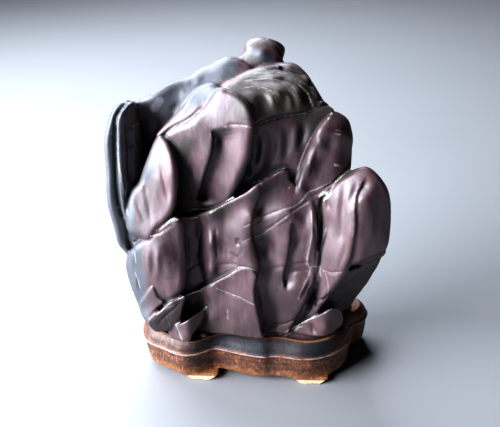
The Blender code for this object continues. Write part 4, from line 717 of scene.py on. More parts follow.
def distance_to_path(across, down, path):
    """Distance from each place to a path."""
    best = np.full(across.shape, 1e9)
    for (ax, ay), (bx, by) in zip(path[:-1], path[1:]):
        dx, dy = bx - ax, by - ay
        px, py = across - ax, down - ay
        along = np.clip((px * dx + py * dy) / (dx * dx + dy * dy), 0, 1)
        px -= along * dx
        py -= along * dy
        np.minimum(best, px * px + py * py, out=best)
    return np.sqrt(best)


def beside_path(across, down, path):
    """For each place: distance to a path, how far along it, +1 on its right; and the path's length."""
    best, run, side = (np.full(across.shape, v) for v in (1e9, 0.0, 1.0))
    walked = 0.0
    for (ax, ay), (bx, by) in zip(path[:-1], path[1:]):
        dx, dy = bx - ax, by - ay
        length = math.hypot(dx, dy)
        along = np.clip(((across - ax) * dx + (down - ay) * dy) / length ** 2, 0, 1)
        away = np.hypot(across - ax - along * dx, down - ay - along * dy)
        nearer = away < best
        best = np.where(nearer, away, best)
        run = np.where(nearer, walked + along * length, run)
        side = np.where(nearer, np.sign(dy * (across - ax) - dx * (down - ay)), side)
        walked += length
    return best, run, side, walked


def depth_inside(across, down, ring):
    """Distance to the closed ring, positive inside it and negative outside."""
    closed = np.vstack([ring, ring[:1]])
    inside = np.zeros(across.shape, bool)
    for (ax, ay), (bx, by) in zip(closed[:-1], closed[1:]):
        if ay != by:
            crossing = (ay > down) != (by > down)
            inside ^= crossing & (across < (bx - ax) * (down - ay) / (by - ay) + ax)
    return np.where(inside, 1, -1) * distance_to_path(across, down, closed)


def bent_sheet(points, across, down):
    """A thin springy sheet bent through (across, down, height) points."""
    given = np.array(points, float)

    def bend(ax, ay, bx, by):
        square = ((ax - bx) ** 2 + (ay - by) ** 2) / BEND_SCALE ** 2
        return square * np.log(square + 1e-9)

    count = len(given)
    system = np.zeros((count + 3, count + 3))
    system[:count, :count] = bend(given[:, None, 0], given[:, None, 1], given[None, :, 0], given[None, :, 1])
    system[:count, :count] += GIVE * np.eye(count)
    system[:count, count] = system[count, :count] = 1
    for extra in (1, 2):
        system[:count, count + extra] = system[count + extra, :count] = given[:, extra - 1] / BEND_SCALE
    pull = np.linalg.solve(system, np.append(given[:, 2], [0, 0, 0]))
    height = pull[count] + pull[count + 1] * across / BEND_SCALE + pull[count + 2] * down / BEND_SCALE
    for weight, (ax, ay, _) in zip(pull, given):
        height = height + weight * bend(across, down, ax, ay)
    return height


class Chart:
    """A rectangle of a sheet with values on a fine grid, read anywhere in between."""

    def __init__(self, low, high):
        self.low, self.step = np.array(low, float), SHEET_STEP
        self.shape = tuple(int(math.ceil((b - a) / self.step)) + 1 for a, b in zip(low, high))
        self.across, self.down = np.meshgrid(low[0] + self.step * np.arange(self.shape[0]),
                                             low[1] + self.step * np.arange(self.shape[1]), indexing="ij")

    def covers(self, across, down):
        high = self.low + self.step * (np.array(self.shape) - 1)
        return (across > self.low[0]) & (across < high[0]) & (down > self.low[1]) & (down < high[1])

    def read(self, values, across, down):
        a = np.clip((across - self.low[0]) / self.step, 0, self.shape[0] - LAST_CELL)
        d = np.clip((down - self.low[1]) / self.step, 0, self.shape[1] - LAST_CELL)
        i, j = a.astype(int), d.astype(int)
        a, d = a - i, d - j
        return ((values[i, j] * (1 - a) + values[i + 1, j] * a) * (1 - d)
                + (values[i, j + 1] * (1 - a) + values[i + 1, j + 1] * a) * d)


class Eye:
    """Looks down on the rock, and finds where each place falls on the sheet in front of it."""

    def __init__(self, place, turn, tilt, lean, reach, middle):
        a, p, r = (math.radians(v) for v in (turn, tilt, lean))
        ahead = np.array([-math.sin(a) * math.cos(p), math.cos(a) * math.cos(p), -math.sin(p)])
        right = np.array([math.cos(a), math.sin(a), 0])
        under = np.cross(ahead, right)
        self.ahead = ahead
        self.right = math.cos(r) * right + math.sin(r) * under
        self.under = -math.sin(r) * right + math.cos(r) * under
        self.place, self.reach, self.middle = np.array(place, float), reach, middle

    def sheet(self, x, y, z):
        """(across, down) on the sheet, and how many real mm one sheet mm covers there."""
        px, py, pz = x - self.place[0], y - self.place[1], z - self.place[2]
        ahead, right, under = ((px * v[0] + py * v[1] + pz * v[2])
                               for v in (self.ahead, self.right, self.under))
        return (self.middle[0] + self.reach * right / ahead, self.middle[1] + self.reach * under / ahead,
                ahead / self.reach)


def rounded_both(a, b, radius):
    """Inside both, with the edge between them rounded."""
    return (np.minimum(np.maximum(a, b), -radius)
            + np.hypot(np.maximum(a + radius, 0), np.maximum(b + radius, 0)))


def welded(a, b, radius):
    """Inside either, with the crease between them softened."""
    blend = np.maximum(radius - np.abs(a - b), 0) / radius
    return np.minimum(a, b) - blend ** 2 * radius / 4


def eased(value):
    """0 to 1 with soft ends."""
    value = np.clip(value, 0, 1)
    return value * value * (3 - 2 * value)


class Lobe:
    """An outline on a sheet with a bent face, that runs back without end."""

    def __init__(self, outline, face, rim):
        ring = smooth_path(outline, OUTLINE_SMOOTHNESS, closed=True)
        self.chart = Chart(ring.min(0) - SHEET_MARGIN, ring.max(0) + SHEET_MARGIN)
        self.edge = depth_inside(self.chart.across, self.chart.down, ring)
        self.face = bent_sheet(face, self.chart.across, self.chart.down)
        slope = np.gradient(self.face, self.chart.step)
        self.steep = np.sqrt(1 + slope[0] ** 2 + slope[1] ** 2)
        self.rim = rim

    def cut(self, across, down, depth, scale):
        edge = self.chart.read(self.edge, across, down) * scale
        face = (self.chart.read(self.face, across, down) - depth) / self.chart.read(self.steep, across, down)
        return rounded_both(-edge, face, self.rim)


def stroke_shape(kind, away, side, width):
    """How deep a stroke of depth 1 cuts at each distance from its path."""
    if kind == "fold":
        over = away * side
        return eased((over + FOLD_DROP) / (2 * FOLD_DROP)) * eased(1 - over / width)
    hollow = np.exp(-2 * (away / width) ** 2)
    return -hollow if kind == "ridge" else hollow


def stroke_chart(strokes, low, high):
    """How deep all the strokes cut, over a whole sheet."""
    chart = Chart(low, high)
    total = np.zeros(chart.shape)
    for kind, points, width, depth in strokes:
        path = smooth_path(points, STROKE_SMOOTHNESS, closed=False)
        span = 2 * width + 2
        first, last = ([int(max(0, (a - b) / chart.step)) for a, b in zip(corner, chart.low)]
                       for corner in (path.min(0) - span, path.max(0) + span))
        part = (slice(first[0], last[0] + 1), slice(first[1], last[1] + 1))
        away, run, side, length = beside_path(chart.across[part], chart.down[part], path)
        fade = min(STROKE_FADE[kind], LONGEST_FADE * length)
        ends = eased(run / fade) * eased((length - run) / fade)
        total[part] += depth * ends * stroke_shape(kind, away, side, width)
    return chart, total


class Side:
    """The lobes and strokes of one side of the stone. inward: +1 where depths grow along their axis."""

    def __init__(self, lobes, strokes, sheet, inward, weld):
        self.lobes = [Lobe(lobe["outline"], [(a, d, inward * depth) for a, d, depth in lobe["face"]],
                           lobe["rim"]) for lobe in lobes.values()]
        self.chart, self.strokes = stroke_chart(strokes, *sheet)
        self.weld = weld

    def cut(self, across, down, depth, scale):
        total = np.full(across.shape, float(SHEET_MARGIN))
        for lobe in self.lobes:
            near = lobe.chart.covers(across, down)
            cut = lobe.cut(across[near], down[near], depth[near], scale[near])
            total[near] = welded(total[near], cut, self.weld)
        return total + self.chart.read(self.strokes, across, down)


class Grain:
    """Soft, repeatable unevenness in space."""

    def __init__(self, seed):
        self.lattice = np.random.default_rng(seed).uniform(-1, 1, (GRAIN_CELLS,) * 3)

    def read(self, places, spacing, height):
        """The unevenness at each place, up to about this height."""
        at = places / np.array(spacing, float)
        whole = np.floor(at).astype(int)
        part = eased(at - whole)
        total = np.zeros(len(places))
        for corner in itertools.product((0, 1), repeat=3):
            share = np.prod(np.where(np.array(corner), part, 1 - part), axis=1)
            total += share * self.lattice[tuple(((whole + corner) % GRAIN_CELLS).T)]
        return height * total


# ---------------------------------------------------------------- meshes
def linked(name, data):
    """A new object in the scene."""
    obj = bpy.data.objects.new(name, data)
    bpy.context.scene.collection.objects.link(obj)
    return obj


def mesh_object(name, places, faces):
    mesh = bpy.data.meshes.new(name)
    mesh.vertices.add(len(places))
    mesh.vertices.foreach_set("co", (places * MM).ravel())
    mesh.loops.add(faces.size)
    mesh.loops.foreach_set("vertex_index", faces.ravel())
    mesh.polygons.add(len(faces))
    mesh.polygons.foreach_set("loop_start", np.arange(len(faces)) * faces.shape[1])
    mesh.update(calc_edges=True)
    return linked(name, mesh)


def modify(obj, name, kind, **settings):
    modifier = obj.modifiers.new(name, kind)
    for setting, value in settings.items():
        setattr(modifier, setting, value)


def applied(obj):
    """Bakes the object's modifiers into its mesh."""
    depsgraph = bpy.context.evaluated_depsgraph_get()
    mesh = bpy.data.meshes.new_from_object(obj.evaluated_get(depsgraph))
    obj.modifiers.clear()
    obj.data = mesh
    return obj


def thinned(obj, faces):
    """Bakes the object's modifiers, and leaves about this many triangles."""
    modify(obj, "fewer faces", "DECIMATE", ratio=min(1, faces / (2 * len(obj.data.polygons))))
    return applied(obj)


def keep_largest(obj):
    """Removes crumbs that are not joined to the main body."""
    mesh = obj.data
    edges = np.zeros(len(mesh.edges) * 2, int)
    mesh.edges.foreach_get("vertices", edges)
    edges = edges.reshape(-1, 2)
    group = np.arange(len(mesh.vertices))
    while True:
        lowest = np.minimum(group[edges[:, 0]], group[edges[:, 1]])
        new = group.copy()
        np.minimum.at(new, edges[:, 0], lowest)
        np.minimum.at(new, edges[:, 1], lowest)
        new = new[new]
        if (new == group).all():
            break
        group = new
    largest = np.bincount(group).argmax()
    shape = bmesh.new()
    shape.from_mesh(mesh)
    shape.verts.ensure_lookup_table()
    loose = [shape.verts[i] for i in np.nonzero(group != largest)[0]]
    bmesh.ops.delete(shape, geom=loose, context="VERTS")
    shape.to_mesh(mesh)
    shape.free()


def places_and_normals(mesh):
    """The mesh's points in mm, and which way each one faces."""
    places, normals = (np.zeros(len(mesh.vertices) * 3) for _ in range(2))
    mesh.vertices.foreach_get("co", places)
    mesh.vertex_normals.foreach_get("vector", normals)
    return places.reshape(-1, 3) / MM, normals.reshape(-1, 3)


def lift_skin(mesh, places, normals, lift):
    """Moves each point out along its normal, by so many mm."""
    mesh.vertices.foreach_set("co", ((places + normals * lift[:, None]) * MM).ravel())
    mesh.update()


def set_mark(mesh, name, values):
    """Keeps one number for each point of the mesh, for its finish to read."""
    mark = mesh.attributes.new(name, "FLOAT", "POINT")
    mark.data.foreach_set("value", np.clip(values, 0, 1).astype(np.float32))


# ---------------------------------------------------------------- the stone
class Stone:
    """The stone as a field: negative inside it, and nearly a distance close to its skin."""

    def __init__(self):
        self.front_eye, self.side_eye = Eye(**FRONT_EYE), Eye(**SIDE_EYE)
        self.front = Side(FRONT_LOBES, FRONT_STROKES, FRONT_SHEET, 1, FRONT_WELD)
        self.side = Side(SIDE_LOBES, SIDE_STROKES, SIDE_SHEET, -1, SIDE_WELD)
        self.back = Side(BACK_LOBES, BACK_STROKES, BACK_SHEET, -1, BACK_WELD)
        ring = smooth_path(FOOT_PLAN, OUTLINE_SMOOTHNESS, closed=True)
        self.foot_chart = Chart(ring.min(0) - FOOT_MARGIN, ring.max(0) + FOOT_MARGIN)
        self.foot = depth_inside(self.foot_chart.across, self.foot_chart.down, ring)

    def field(self, x, y, z):
        across, down, scale = self.front_eye.sheet(x, y, z)
        front = self.front.cut(across, down, y, scale)
        across, down, scale = self.side_eye.sheet(x, y, z)
        side = self.side.cut(across, down, -x, scale)
        back = self.back.cut(x, z, -y, np.ones(x.shape))
        solid = rounded_both(rounded_both(front, back, END_ROUND), side, SIDE_ROUND)
        foot = SLACK - self.foot_chart.read(self.foot, x, y)
        solid = rounded_both(solid, foot - np.maximum(z - FLARE_START, 0) * FLARE, FOOT_ROUND)
        solid = welded(solid, rounded_both(foot, z - FOOT_TOP, PLUG_ROUND), PLUG_WELD)
        return rounded_both(solid, FOOT_BOTTOM - z, FOOT_ROUND)


def values_near_skin(field, low, high, step):
    """The field on a fine grid: exact near the skin, and only its sign and rough size elsewhere."""
    coarse = step * COARSE
    counts = [int(math.ceil((b - a) / coarse)) + 1 for a, b in zip(low, high)]
    axes = [a + coarse * np.arange(n) for a, n in zip(low, counts)]
    x, y, z = np.meshgrid(*axes, indexing="ij")
    value = field(x.ravel(), y.ravel(), z.ravel()).reshape(x.shape)
    for axis in range(3):
        count = (value.shape[axis] - 1) * COARSE + 1
        at = np.arange(count) / COARSE
        whole = np.minimum(at.astype(int), value.shape[axis] - 2)
        part = (at - whole).reshape([-1 if a == axis else 1 for a in range(3)])
        value = np.take(value, whole, axis) * (1 - part) + np.take(value, whole + 1, axis) * part
    close = np.argwhere(np.abs(value) < BAND)
    places = close * step + np.array(low, float)
    exact = np.empty(len(places))
    for start in range(0, len(places), BATCH):
        part = slice(start, start + BATCH)
        exact[part] = field(*places[part].T)
    value[tuple(close.T)] = exact
    return value


def skin(value, low, step):
    """A closed quad skin where the values on the grid cross zero."""
    inside = value < 0
    places, quads = [], []
    for axis in range(3):
        near = np.argwhere(np.diff(inside, axis=axis))
        far = near.copy()
        far[:, axis] += 1
        start, end = value[tuple(near.T)], value[tuple(far.T)]
        place = near.astype(float)
        place[:, axis] += start / (start - end)
        places.append(np.repeat(place, 4, axis=0))
        one, two = [a for a in range(3) if a != axis]
        ring = []
        for first, second in ((1, 1), (0, 1), (0, 0), (1, 0)):
            cell = near.copy()
            cell[:, one] -= first
            cell[:, two] -= second
            ring.append(np.ravel_multi_index(cell.T, value.shape))
        ring = np.stack(ring, 1)
        outward = (start < 0) != (axis == 1)
        quads.append(np.where(outward[:, None], ring, ring[:, ::-1]))
    cells, index = np.unique(np.vstack(quads), return_inverse=True)
    index = index.ravel()
    count = np.bincount(index)
    middle = np.stack([np.bincount(index, weights=axis) / count for axis in np.vstack(places).T], 1)
    return middle * step + np.array(low, float), index.reshape(-1, 4)


def settle(mesh, field):
    """Slides each point along its normal on to the field's skin."""
    places, normals = places_and_normals(mesh)
    off = field(*places.T)
    slope = (field(*(places + normals * PROBE).T) - off) / PROBE
    slide = -off / np.clip(slope, *SLOPES)
    lift_skin(mesh, places, normals, np.clip(slide, -LONGEST_SLIDE, LONGEST_SLIDE))


def build_stone():
    stone = Stone()
    value = values_near_skin(stone.field, STONE_LOW, STONE_HIGH, STONE_STEP)
    obj = mesh_object("stone_skin", *skin(value, STONE_LOW, STONE_STEP))
    modify(obj, "closed skin", "REMESH", mode="VOXEL", voxel_size=STONE_VOXEL * MM)
    keep_largest(applied(obj))
    settle(obj.data, stone.field)
    modify(obj, "even skin", "SMOOTH", factor=0.5, iterations=1)
    weather(thinned(obj, STONE_FACES).data, stone)
    return obj


def drawn(across, down, paths, start, fall):
    """How strongly the nearest path marks each place. fall: what is lost over the path's width."""
    total = np.zeros(across.shape)
    for points, width in paths:
        away = distance_to_path(across, down, smooth_path(points, STROKE_SMOOTHNESS, closed=False))
        total = np.maximum(total, np.clip(start - fall * away / width, 0, 1))
    return total


def weather(mesh, stone):
    """The stone's slight unevenness, and the marks that its finish reads."""
    places, normals = places_and_normals(mesh)
    x, y, z = places.T
    broad, soft, fine = (Grain(seed) for seed in STONE_SEEDS)
    # painted shade in the finish: how hollow each place is, close by and further out
    for name, reach in HOLLOW_REACH.items():
        set_mark(mesh, name, 1 - stone.field(*(places + normals * reach).T) / reach)
    # painted shade in the finish: how far each place faces down
    set_mark(mesh, "under", eased(-normals[:, 2] * 2.2 - 0.1))

    # where each side's sheet is to be seen: its own faces, and not those behind or beside them
    across, down, _ = stone.front_eye.sheet(x, y, z)
    toward_front = eased(0.1 - (normals @ stone.front_eye.ahead))
    on_front = toward_front * eased((FRONT_DEPTH - y - FRONT_SLANT * np.maximum(x - FRONT_CORNER, 0)) / 8)
    aside, below, _ = stone.side_eye.sheet(x, y, z)
    on_side = eased(0.1 - (normals @ stone.side_eye.ahead)) * (normals[:, 0] > 0.25)
    on_back = eased((normals[:, 1] - 0.4) / 0.2) * (np.abs(x) < BACK_HALF_WIDTH)
    left_end = eased((LEFT_END - x) / LEFT_END_FADE) * eased((-normals[:, 0] - 0.1) / 0.5)

    chips = drawn(across, down, CHIPPED_EDGES, *CHIP_EDGE) * on_front
    chips *= 0.8 + soft.read(places, *CHIP_PATCHES)
    set_mark(mesh, "chips", chips)
    set_mark(mesh, "seams", np.maximum(drawn(aside, below, SIDE_SEAMS, *VEIN_EDGE) * on_side,
                                       drawn(x, z, BACK_SEAMS, *VEIN_EDGE) * on_back))
    # pale mineral veins, and painted highlights along crests
    set_mark(mesh, "veins", drawn(across, down, VEINS_AND_HIGHLIGHTS, *VEIN_EDGE) * on_front)
    for name, paths in STAINS.items():
        stain = eased(drawn(across, down, paths, *STAIN_EDGE)) * on_front
        set_mark(mesh, name, np.maximum(stain, 0.9 * left_end) if name == "slate" else stain)

    lift = broad.read(places, *STONE_SWELL) + soft.read(places, *STONE_RIPPLE)
    lift += fine.read(places, *BROKEN_SKIN) * eased(2 * chips - 0.8)
    lift_skin(mesh, places, normals, lift)


# ---------------------------------------------------------------- the stand
def inset_ring(ring, inset):
    """The ring moved inward; a negative inset moves it outward."""
    along = np.roll(ring, -1, 0) - np.roll(ring, 1, 0)
    inward = np.stack([-along[:, 1], along[:, 0]], 1) / np.linalg.norm(along, axis=1)[:, None]
    return ring + inward * inset


def stand_rings():
    """Rings of points (x, y, z) up the outside of the stand and over its rim, and the socket's ring."""
    bead, rim, socket = (smooth_path(plan, STAND_SMOOTHNESS, closed=True)
                         for plan in (STAND_PLAN, RIM_PLAN, FOOT_PLAN))
    rings = [(inset_ring(bead, inset), height) for height, inset in BAND_PROFILE]
    rings += [(bead + (rim - bead) * share, height) for height, share in COVE_PROFILE]
    rings.append((inset_ring(rim, RIM_ROUND), RIM_TOP))
    return [np.column_stack([ring, np.full(len(ring), height)]) for ring, height in rings], socket


def build_stand():
    outside, socket = stand_rings()
    shape = bmesh.new()
    rings = [[shape.verts.new(place * MM) for place in ring]
             for ring in smooth_path(outside, STAND_ROWS, closed=False)]
    walls = [[shape.verts.new((x * MM, y * MM, height * MM)) for x, y in socket]
             for height in (SOCKET_EDGE, (SOCKET_EDGE + SOCKET_FLOOR) / 2, SOCKET_FLOOR)]
    for near, far in list(zip(rings[:-1], rings[1:])) + list(zip(walls[:-1], walls[1:])):
        for corners in zip(near, near[1:] + near[:1], far[1:] + far[:1], far):
            shape.faces.new(corners)
    shape.faces.new(rings[0])
    shape.faces.new(walls[-1])
    edges = [shape.edges.get(ends) for ring in (rings[-1], walls[0])
             for ends in zip(ring, ring[1:] + ring[:1])]
    bmesh.ops.bridge_loops(shape, edges=edges)
    bmesh.ops.recalc_face_normals(shape, faces=shape.faces)
    mesh = bpy.data.meshes.new("carved_stand")
    shape.to_mesh(mesh)
    shape.free()
    stand = linked("carved_stand", mesh)
    feet = [build_foot(*foot, turn) for foot, turn in zip(FEET, FOOT_TURN)]
    for foot in feet:
        modify(stand, "foot", "BOOLEAN", operation="UNION", solver="EXACT", object=foot)
    applied(stand)
    for foot in feet:
        bpy.data.objects.remove(foot)
    modify(stand, "closed skin", "REMESH", mode="VOXEL", voxel_size=STAND_VOXEL * MM)
    modify(stand, "even skin", "SMOOTH", factor=0.5, iterations=2)
    keep_largest(applied(stand))
    weather_stand(thinned(stand, STAND_FACES).data)
    return stand


def build_foot(x, y, length, width, turn):
    """One foot: a block that spreads toward its top, which ends inside the band."""
    bpy.ops.mesh.primitive_cube_add(size=1)
    foot = bpy.context.object
    foot.name = "foot_block"
    top = BAND_PROFILE[1][0]
    for vert in foot.data.vertices:
        spread = 0 if vert.co.z < 0 else FOOT_FLARE
        vert.co.x *= (length + 2 * spread) * MM
        vert.co.y *= width * MM
        vert.co.z = 0 if vert.co.z < 0 else top * MM
    foot.location = Vector((x, y, 0)) * MM
    foot.rotation_euler.z = math.radians(turn)
    return foot


def weather_stand(mesh):
    """Tool marks, worn places, and the marks that the wood's finish reads."""
    places, normals = places_and_normals(mesh)
    x, y, z = places.T
    soft, fine = (Grain(seed) for seed in WOOD_SEEDS)
    lift = soft.read(places, *TOOL_MARKS) + fine.read(places, *WOOD_PORES)
    lift_skin(mesh, places, normals, lift * (z > FLAT_BELOW))
    inside_bead, inside_rim = (depth_inside(x, y, smooth_path(plan, PLAN_SMOOTHNESS, closed=True))
                               for plan in (STAND_PLAN, RIM_PLAN))
    off_crest = np.hypot(inside_bead - BEAD_CREST[0], (z - BEAD_CREST[1]) * 0.8)
    set_mark(mesh, "bead", eased(1.2 - off_crest / 1.3))
    set_mark(mesh, "rim", eased(1.2 - np.hypot(inside_rim - 1.4, z - RIM_TOP) / 2.4))
    set_mark(mesh, "bare", eased((BAND_PROFILE[0][0] - z) / 0.8))
    # painted shade: the whole cove is darkened, and darkest along the front, between its two ends
    dark = eased((x + 76) / 26) * eased((98 - x) / 25) * eased((-10 - y) / 18)
    above_bead = eased((z - 36.5) / 2) * eased((49.5 - z) / 2) * eased(0.8 - inside_rim / 2)
    set_mark(mesh, "cove", (0.3 + 0.7 * dark) * above_bead)
    set_mark(mesh, "lower", eased((24 - z) / 16))
    # painted light: the rear and right of the stand lighter and more orange, where light falls on it
    set_mark(mesh, "ochre", np.maximum(eased((x - 58) / 40), eased((y + 5) / 25)))


# ---------------------------------------------------------------- finishes
class Wire:
    """One socket of a finish. Sums, differences and products of wires become Math nodes."""

    def __init__(self, finish, socket):
        self.finish, self.socket = finish, socket

    def math(self, operation, *values):
        return self.finish.node("Math", {"operation": operation}, dict(enumerate(values)))

    def __add__(self, other):
        return self.math("ADD", self, other)

    def __sub__(self, other):
        return self.math("SUBTRACT", self, other)

    def __rsub__(self, other):
        return self.math("SUBTRACT", other, self)

    def __mul__(self, other):
        return self.math("MULTIPLY", self, other)

    __radd__, __rmul__ = __add__, __mul__

    def between(self, low, high):
        """0 at low, 1 at high, with soft ends."""
        return self.finish.node("MapRange", {"interpolation_type": "SMOOTHSTEP"},
                                {"Value": self, "From Min": low, "From Max": high})


class Finish:
    """A material made of nodes around one Principled shader."""

    def __init__(self, name, **constants):
        self.material = bpy.data.materials.new(name)
        self.material.use_nodes = True
        self.tree = self.material.node_tree
        self.shader = self.tree.nodes["Principled BSDF"]
        self.give(**constants)

    def feed(self, socket, value):
        if isinstance(value, Wire):
            self.tree.links.new(value.socket, socket)
        else:
            socket.default_value = value

    def node(self, kind, settings, sockets, out=0):
        """Any node: its type, its settings, then the values or links of its sockets."""
        node = self.tree.nodes.new("ShaderNode" + kind)
        for setting, value in settings.items():
            setattr(node, setting, value)
        for socket, value in sockets.items():
            self.feed(node.inputs[socket], value)
        return Wire(self, node.outputs[out])

    def marks(self, names):
        return [self.node("Attribute", {"attribute_name": name}, {}, "Fac") for name in names.split()]

    def noise(self, scale, detail=3.0, roughness=0.5, distortion=0.0):
        """Cloudy values around a half, so many clouds to a metre along each axis."""
        places = self.node("VectorMath", {"operation": "MULTIPLY"},
                           {0: self.node("TexCoord", {}, {}, "Object"), 1: scale}, "Vector")
        return self.node("TexNoise", {}, {"Vector": places, "Scale": 1.0, "Detail": detail,
                                          "Roughness": roughness, "Distortion": distortion}, "Fac")

    def mix(self, share, first, second):
        """A colour between two colours."""
        first, second = (value if isinstance(value, Wire) else (*value, 1) for value in (first, second))
        return self.node("Mix", {"data_type": "RGBA"}, {0: share, 6: first, 7: second}, 2)

    def layered(self, colour, *layers):
        """The colour, with each (share, colour) laid over it in turn."""
        for share, over in layers:
            colour = self.mix(share, colour, over)
        return colour

    def bump(self, height, distance, strength):
        return self.node("Bump", {}, {"Height": height, "Distance": distance, "Strength": strength}, "Normal")

    def give(self, **sockets):
        for socket, value in sockets.items():
            self.feed(self.shader.inputs[socket.replace("_", " ")], value)
        return self.material


def waxed_stone():
    finish = Finish("waxed dark stone", Specular_IOR_Level=1.0, IOR=1.55)
    hollow, recess, under, chips, veins, seams, olive, slate, bloom, specks = finish.marks(
        "hollow recess under chips veins seams olive slate bloom specks")
    clouds = finish.noise((28, 28, 16), 4)
    mottle = finish.noise((170, 170, 90), 4, 0.65)
    streaks = finish.noise((260, 260, 24), 3)
    grit = finish.noise((900, 900, 600), 3, 0.7)
    # painted shade: darker where the stone is hollow or deeply recessed
    crease_shade = (hollow.between(0.15, 0.75) + recess.between(0.55, 1.0)).between(0, 1)
    ragged = (grit - 0.5) * 0.9 + (mottle - 0.5) * 0.8
    broken = ((chips + ragged).between(0.62, 0.74) + (grit * specks).between(0.64, 0.70)).between(0, 1)
    mineral = finish.mix(mottle.between(0.35, 0.65), (0.09, 0.085, 0.04), (0.36, 0.34, 0.27))
    crystal = finish.mix(mottle.between(0.4, 0.6), (0.62, 0.60, 0.56), (0.34, 0.31, 0.20))
    colour = finish.layered(
        (0.052, 0.022, 0.024),
        (clouds.between(0.35, 0.65), (0.105, 0.052, 0.055)),
        (mottle.between(0.5, 0.75) * 0.5, (0.12, 0.075, 0.08)),
        (streaks.between(0.5, 0.7) * 0.3, (0.14, 0.09, 0.09)),
        ((olive + (clouds - 0.5) * 0.8).between(0.2, 0.9) * 0.8, (0.030, 0.022, 0.011)),
        ((slate + (clouds - 0.5) * 0.6).between(0.2, 0.9) * 0.9, (0.028, 0.037, 0.046)),
        ((bloom + (mottle - 0.5) * 0.8).between(0.3, 1.0) * 0.6, (0.24, 0.24, 0.27)),
        (crease_shade * 0.85, (0.008, 0.006, 0.006)),  # painted shade in the creases and deep recesses
        (under * 0.8, (0.010, 0.010, 0.009)),  # painted shade on faces turned down
        # pale mineral veins, and painted highlights along crests
        ((veins + ragged * 0.9 + (clouds - 0.5) * 0.8).between(0.4, 1.0) * 0.6, (0.34, 0.33, 0.30)),
        ((seams + ragged * 1.1).between(0.45, 0.9) * 0.75, mineral),
        (broken, crystal))
    roughness = 0.44 + mottle * 0.18 + slate * 0.06 + broken * 0.3 + crease_shade * 0.2 + under * 0.2 + olive * 0.08
    height = streaks * 0.5 + grit * 0.25 + mottle * 0.6 + broken * 0.4
    return finish.give(Base_Color=colour, Roughness=roughness, Normal=finish.bump(height, 0.0006, 0.6))


def oiled_wood():
    finish = Finish("oiled hardwood", Specular_IOR_Level=0.45)
    bead, rim, cove, ochre, lower, bare = finish.marks("bead rim cove ochre lower bare")
    grain = finish.noise((50, 50, 420), 5, 0.6, 1.2)
    fibres = finish.noise((420, 420, 160), 4, 0.65)
    patches = finish.noise((26, 26, 34), 4, 0.6)
    wear = finish.noise((120, 120, 120), 4, 0.6)
    swirl = finish.noise((70, 70, 90), 2, 0.5, 3.0)
    scratch = swirl.between(0.47, 0.5) * (1 - swirl.between(0.5, 0.53)) * wear.between(0.4, 0.6)
    rubbed = finish.mix(fibres.between(0.4, 0.65), (0.24, 0.088, 0.026), (0.40, 0.20, 0.10))
    pale = finish.mix(fibres.between(0.35, 0.7), (0.86, 0.70, 0.46), (0.58, 0.36, 0.17))
    colour = finish.layered(
        (0.062, 0.024, 0.012),
        (grain.between(0.35, 0.65), (0.185, 0.070, 0.028)),
        (wear.between(0.46, 0.64) * 0.7, (0.040, 0.019, 0.017)),
        (fibres.between(0.52, 0.72) * 0.6, (0.40, 0.22, 0.15)),
        (scratch * 0.4, (0.42, 0.27, 0.22)),  # thin pale swirls
        # painted light on the rear and right of the stand: lighter, more orange wood
        ((ochre * 0.5 + (patches - 0.5)).between(0.1, 0.7) * 0.6, (0.21, 0.082, 0.030)),
        (patches.between(0.46, 0.66) * (0.8 - ochre * 0.25), (0.022, 0.014, 0.013)),
        ((lower * 0.7 + (wear - 0.5) * 1.2).between(0.2, 0.75) * 0.7, rubbed),
        # painted shade in the cove
        (cove * (0.75 + patches * 0.3), (0.011, 0.013, 0.018)),
        ((bead + (wear - 0.55) * 2.6).between(0.35, 0.8) * 0.75, (0.36, 0.24, 0.20)),
        ((rim + (wear - 0.5) * 0.5).between(0.2, 0.9) * 0.8, (0.24, 0.13, 0.06)),
        (bare, pale))
    roughness = 0.40 + patches * 0.2 + fibres * 0.1 + bare * 0.25
    height = grain * 0.5 + fibres * 0.5
    return finish.give(Base_Color=colour, Roughness=roughness, Normal=finish.bump(height, 0.0005, 0.5))


def pale_floor():
    finish = Finish("pale floor", Roughness=0.6)
    cloud = finish.noise((3, 3, 3), 2)
    return finish.give(Base_Color=finish.mix(cloud, (0.21, 0.21, 0.21), (0.23, 0.23, 0.23)))


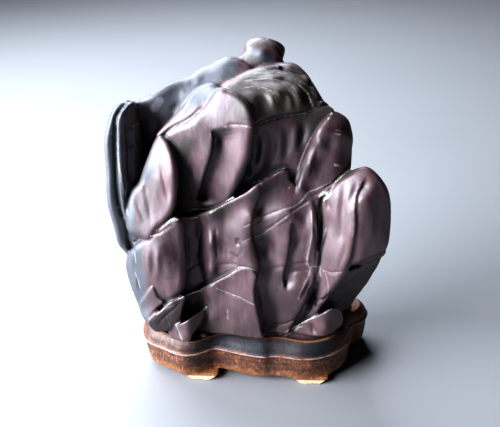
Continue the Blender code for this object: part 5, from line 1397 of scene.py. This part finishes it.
# ---------------------------------------------------------------- the studio
def soft_light(name, place, aim, size, power, colour):
    lamp = bpy.data.lights.new(name, "AREA")
    lamp.shape, lamp.size, lamp.size_y = "RECTANGLE", size[0], size[1]
    lamp.energy, lamp.color = power, colour
    light = linked(name, lamp)
    light.location = place
    light.rotation_euler = (Vector(aim) - Vector(place)).to_track_quat("-Z", "Y").to_euler()


def build_studio(shift):
    bpy.ops.mesh.primitive_plane_add(size=FLOOR_SIZE)
    floor = bpy.context.object
    floor.name = "floor"
    floor.data.materials.append(pale_floor())
    scene = bpy.context.scene
    scene.world = bpy.data.worlds.new("soft room")
    scene.world.use_nodes = True
    room = scene.world.node_tree.nodes["Background"].inputs
    room["Color"].default_value, room["Strength"].default_value = ROOM_COLOUR, ROOM_STRENGTH
    scene.view_settings.view_transform, scene.view_settings.look = "Standard", "High Contrast"
    for light in LIGHTS:
        soft_light(*light)
    eye = Eye(**FRONT_EYE)
    lens = bpy.data.cameras.new("camera")
    lens.sensor_width = SENSOR_WIDTH
    lens.lens = eye.reach / PICTURE_WIDTH * SENSOR_WIDTH
    lens.clip_start = 0.01
    scene.camera = linked("camera", lens)
    stance = Matrix.Identity(4)
    for row in range(3):
        stance[row][0], stance[row][1] = eye.right[row], -eye.under[row]
        stance[row][2], stance[row][3] = -eye.ahead[row], eye.place[row] * MM + shift[row]
    scene.camera.matrix_world = stance


def plan_shift():
    """How far the solids stand from the layout, because they are centred over the origin."""
    edge = max(-inset for _, inset in BAND_PROFILE)
    ring = inset_ring(smooth_path(STAND_PLAN, CAD_STAND_SMOOTHNESS, closed=True), -edge)
    low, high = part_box("stand")
    middle = (ring.min(0) + ring.max(0)) / 2 * MM
    return Vector(((low.x + high.x) / 2 - middle[0], (low.y + high.y) / 2 - middle[1], 0))


def main():
    shift = plan_shift()
    for build, material, node, slot in ((build_stone, waxed_stone, "stone", "stone"),
                                        (build_stand, oiled_wood, "stand", "wood")):
        piece = build()
        piece.data.polygons.foreach_set("use_smooth", np.ones(len(piece.data.polygons), bool))
        piece.data.materials.clear()
        piece.data.materials.append(material())
        piece.data.transform(Matrix.Translation(shift))
        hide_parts(node)
        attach(piece, "root")
    build_studio(shift)
    bpy.context.view_layer.update()


main()
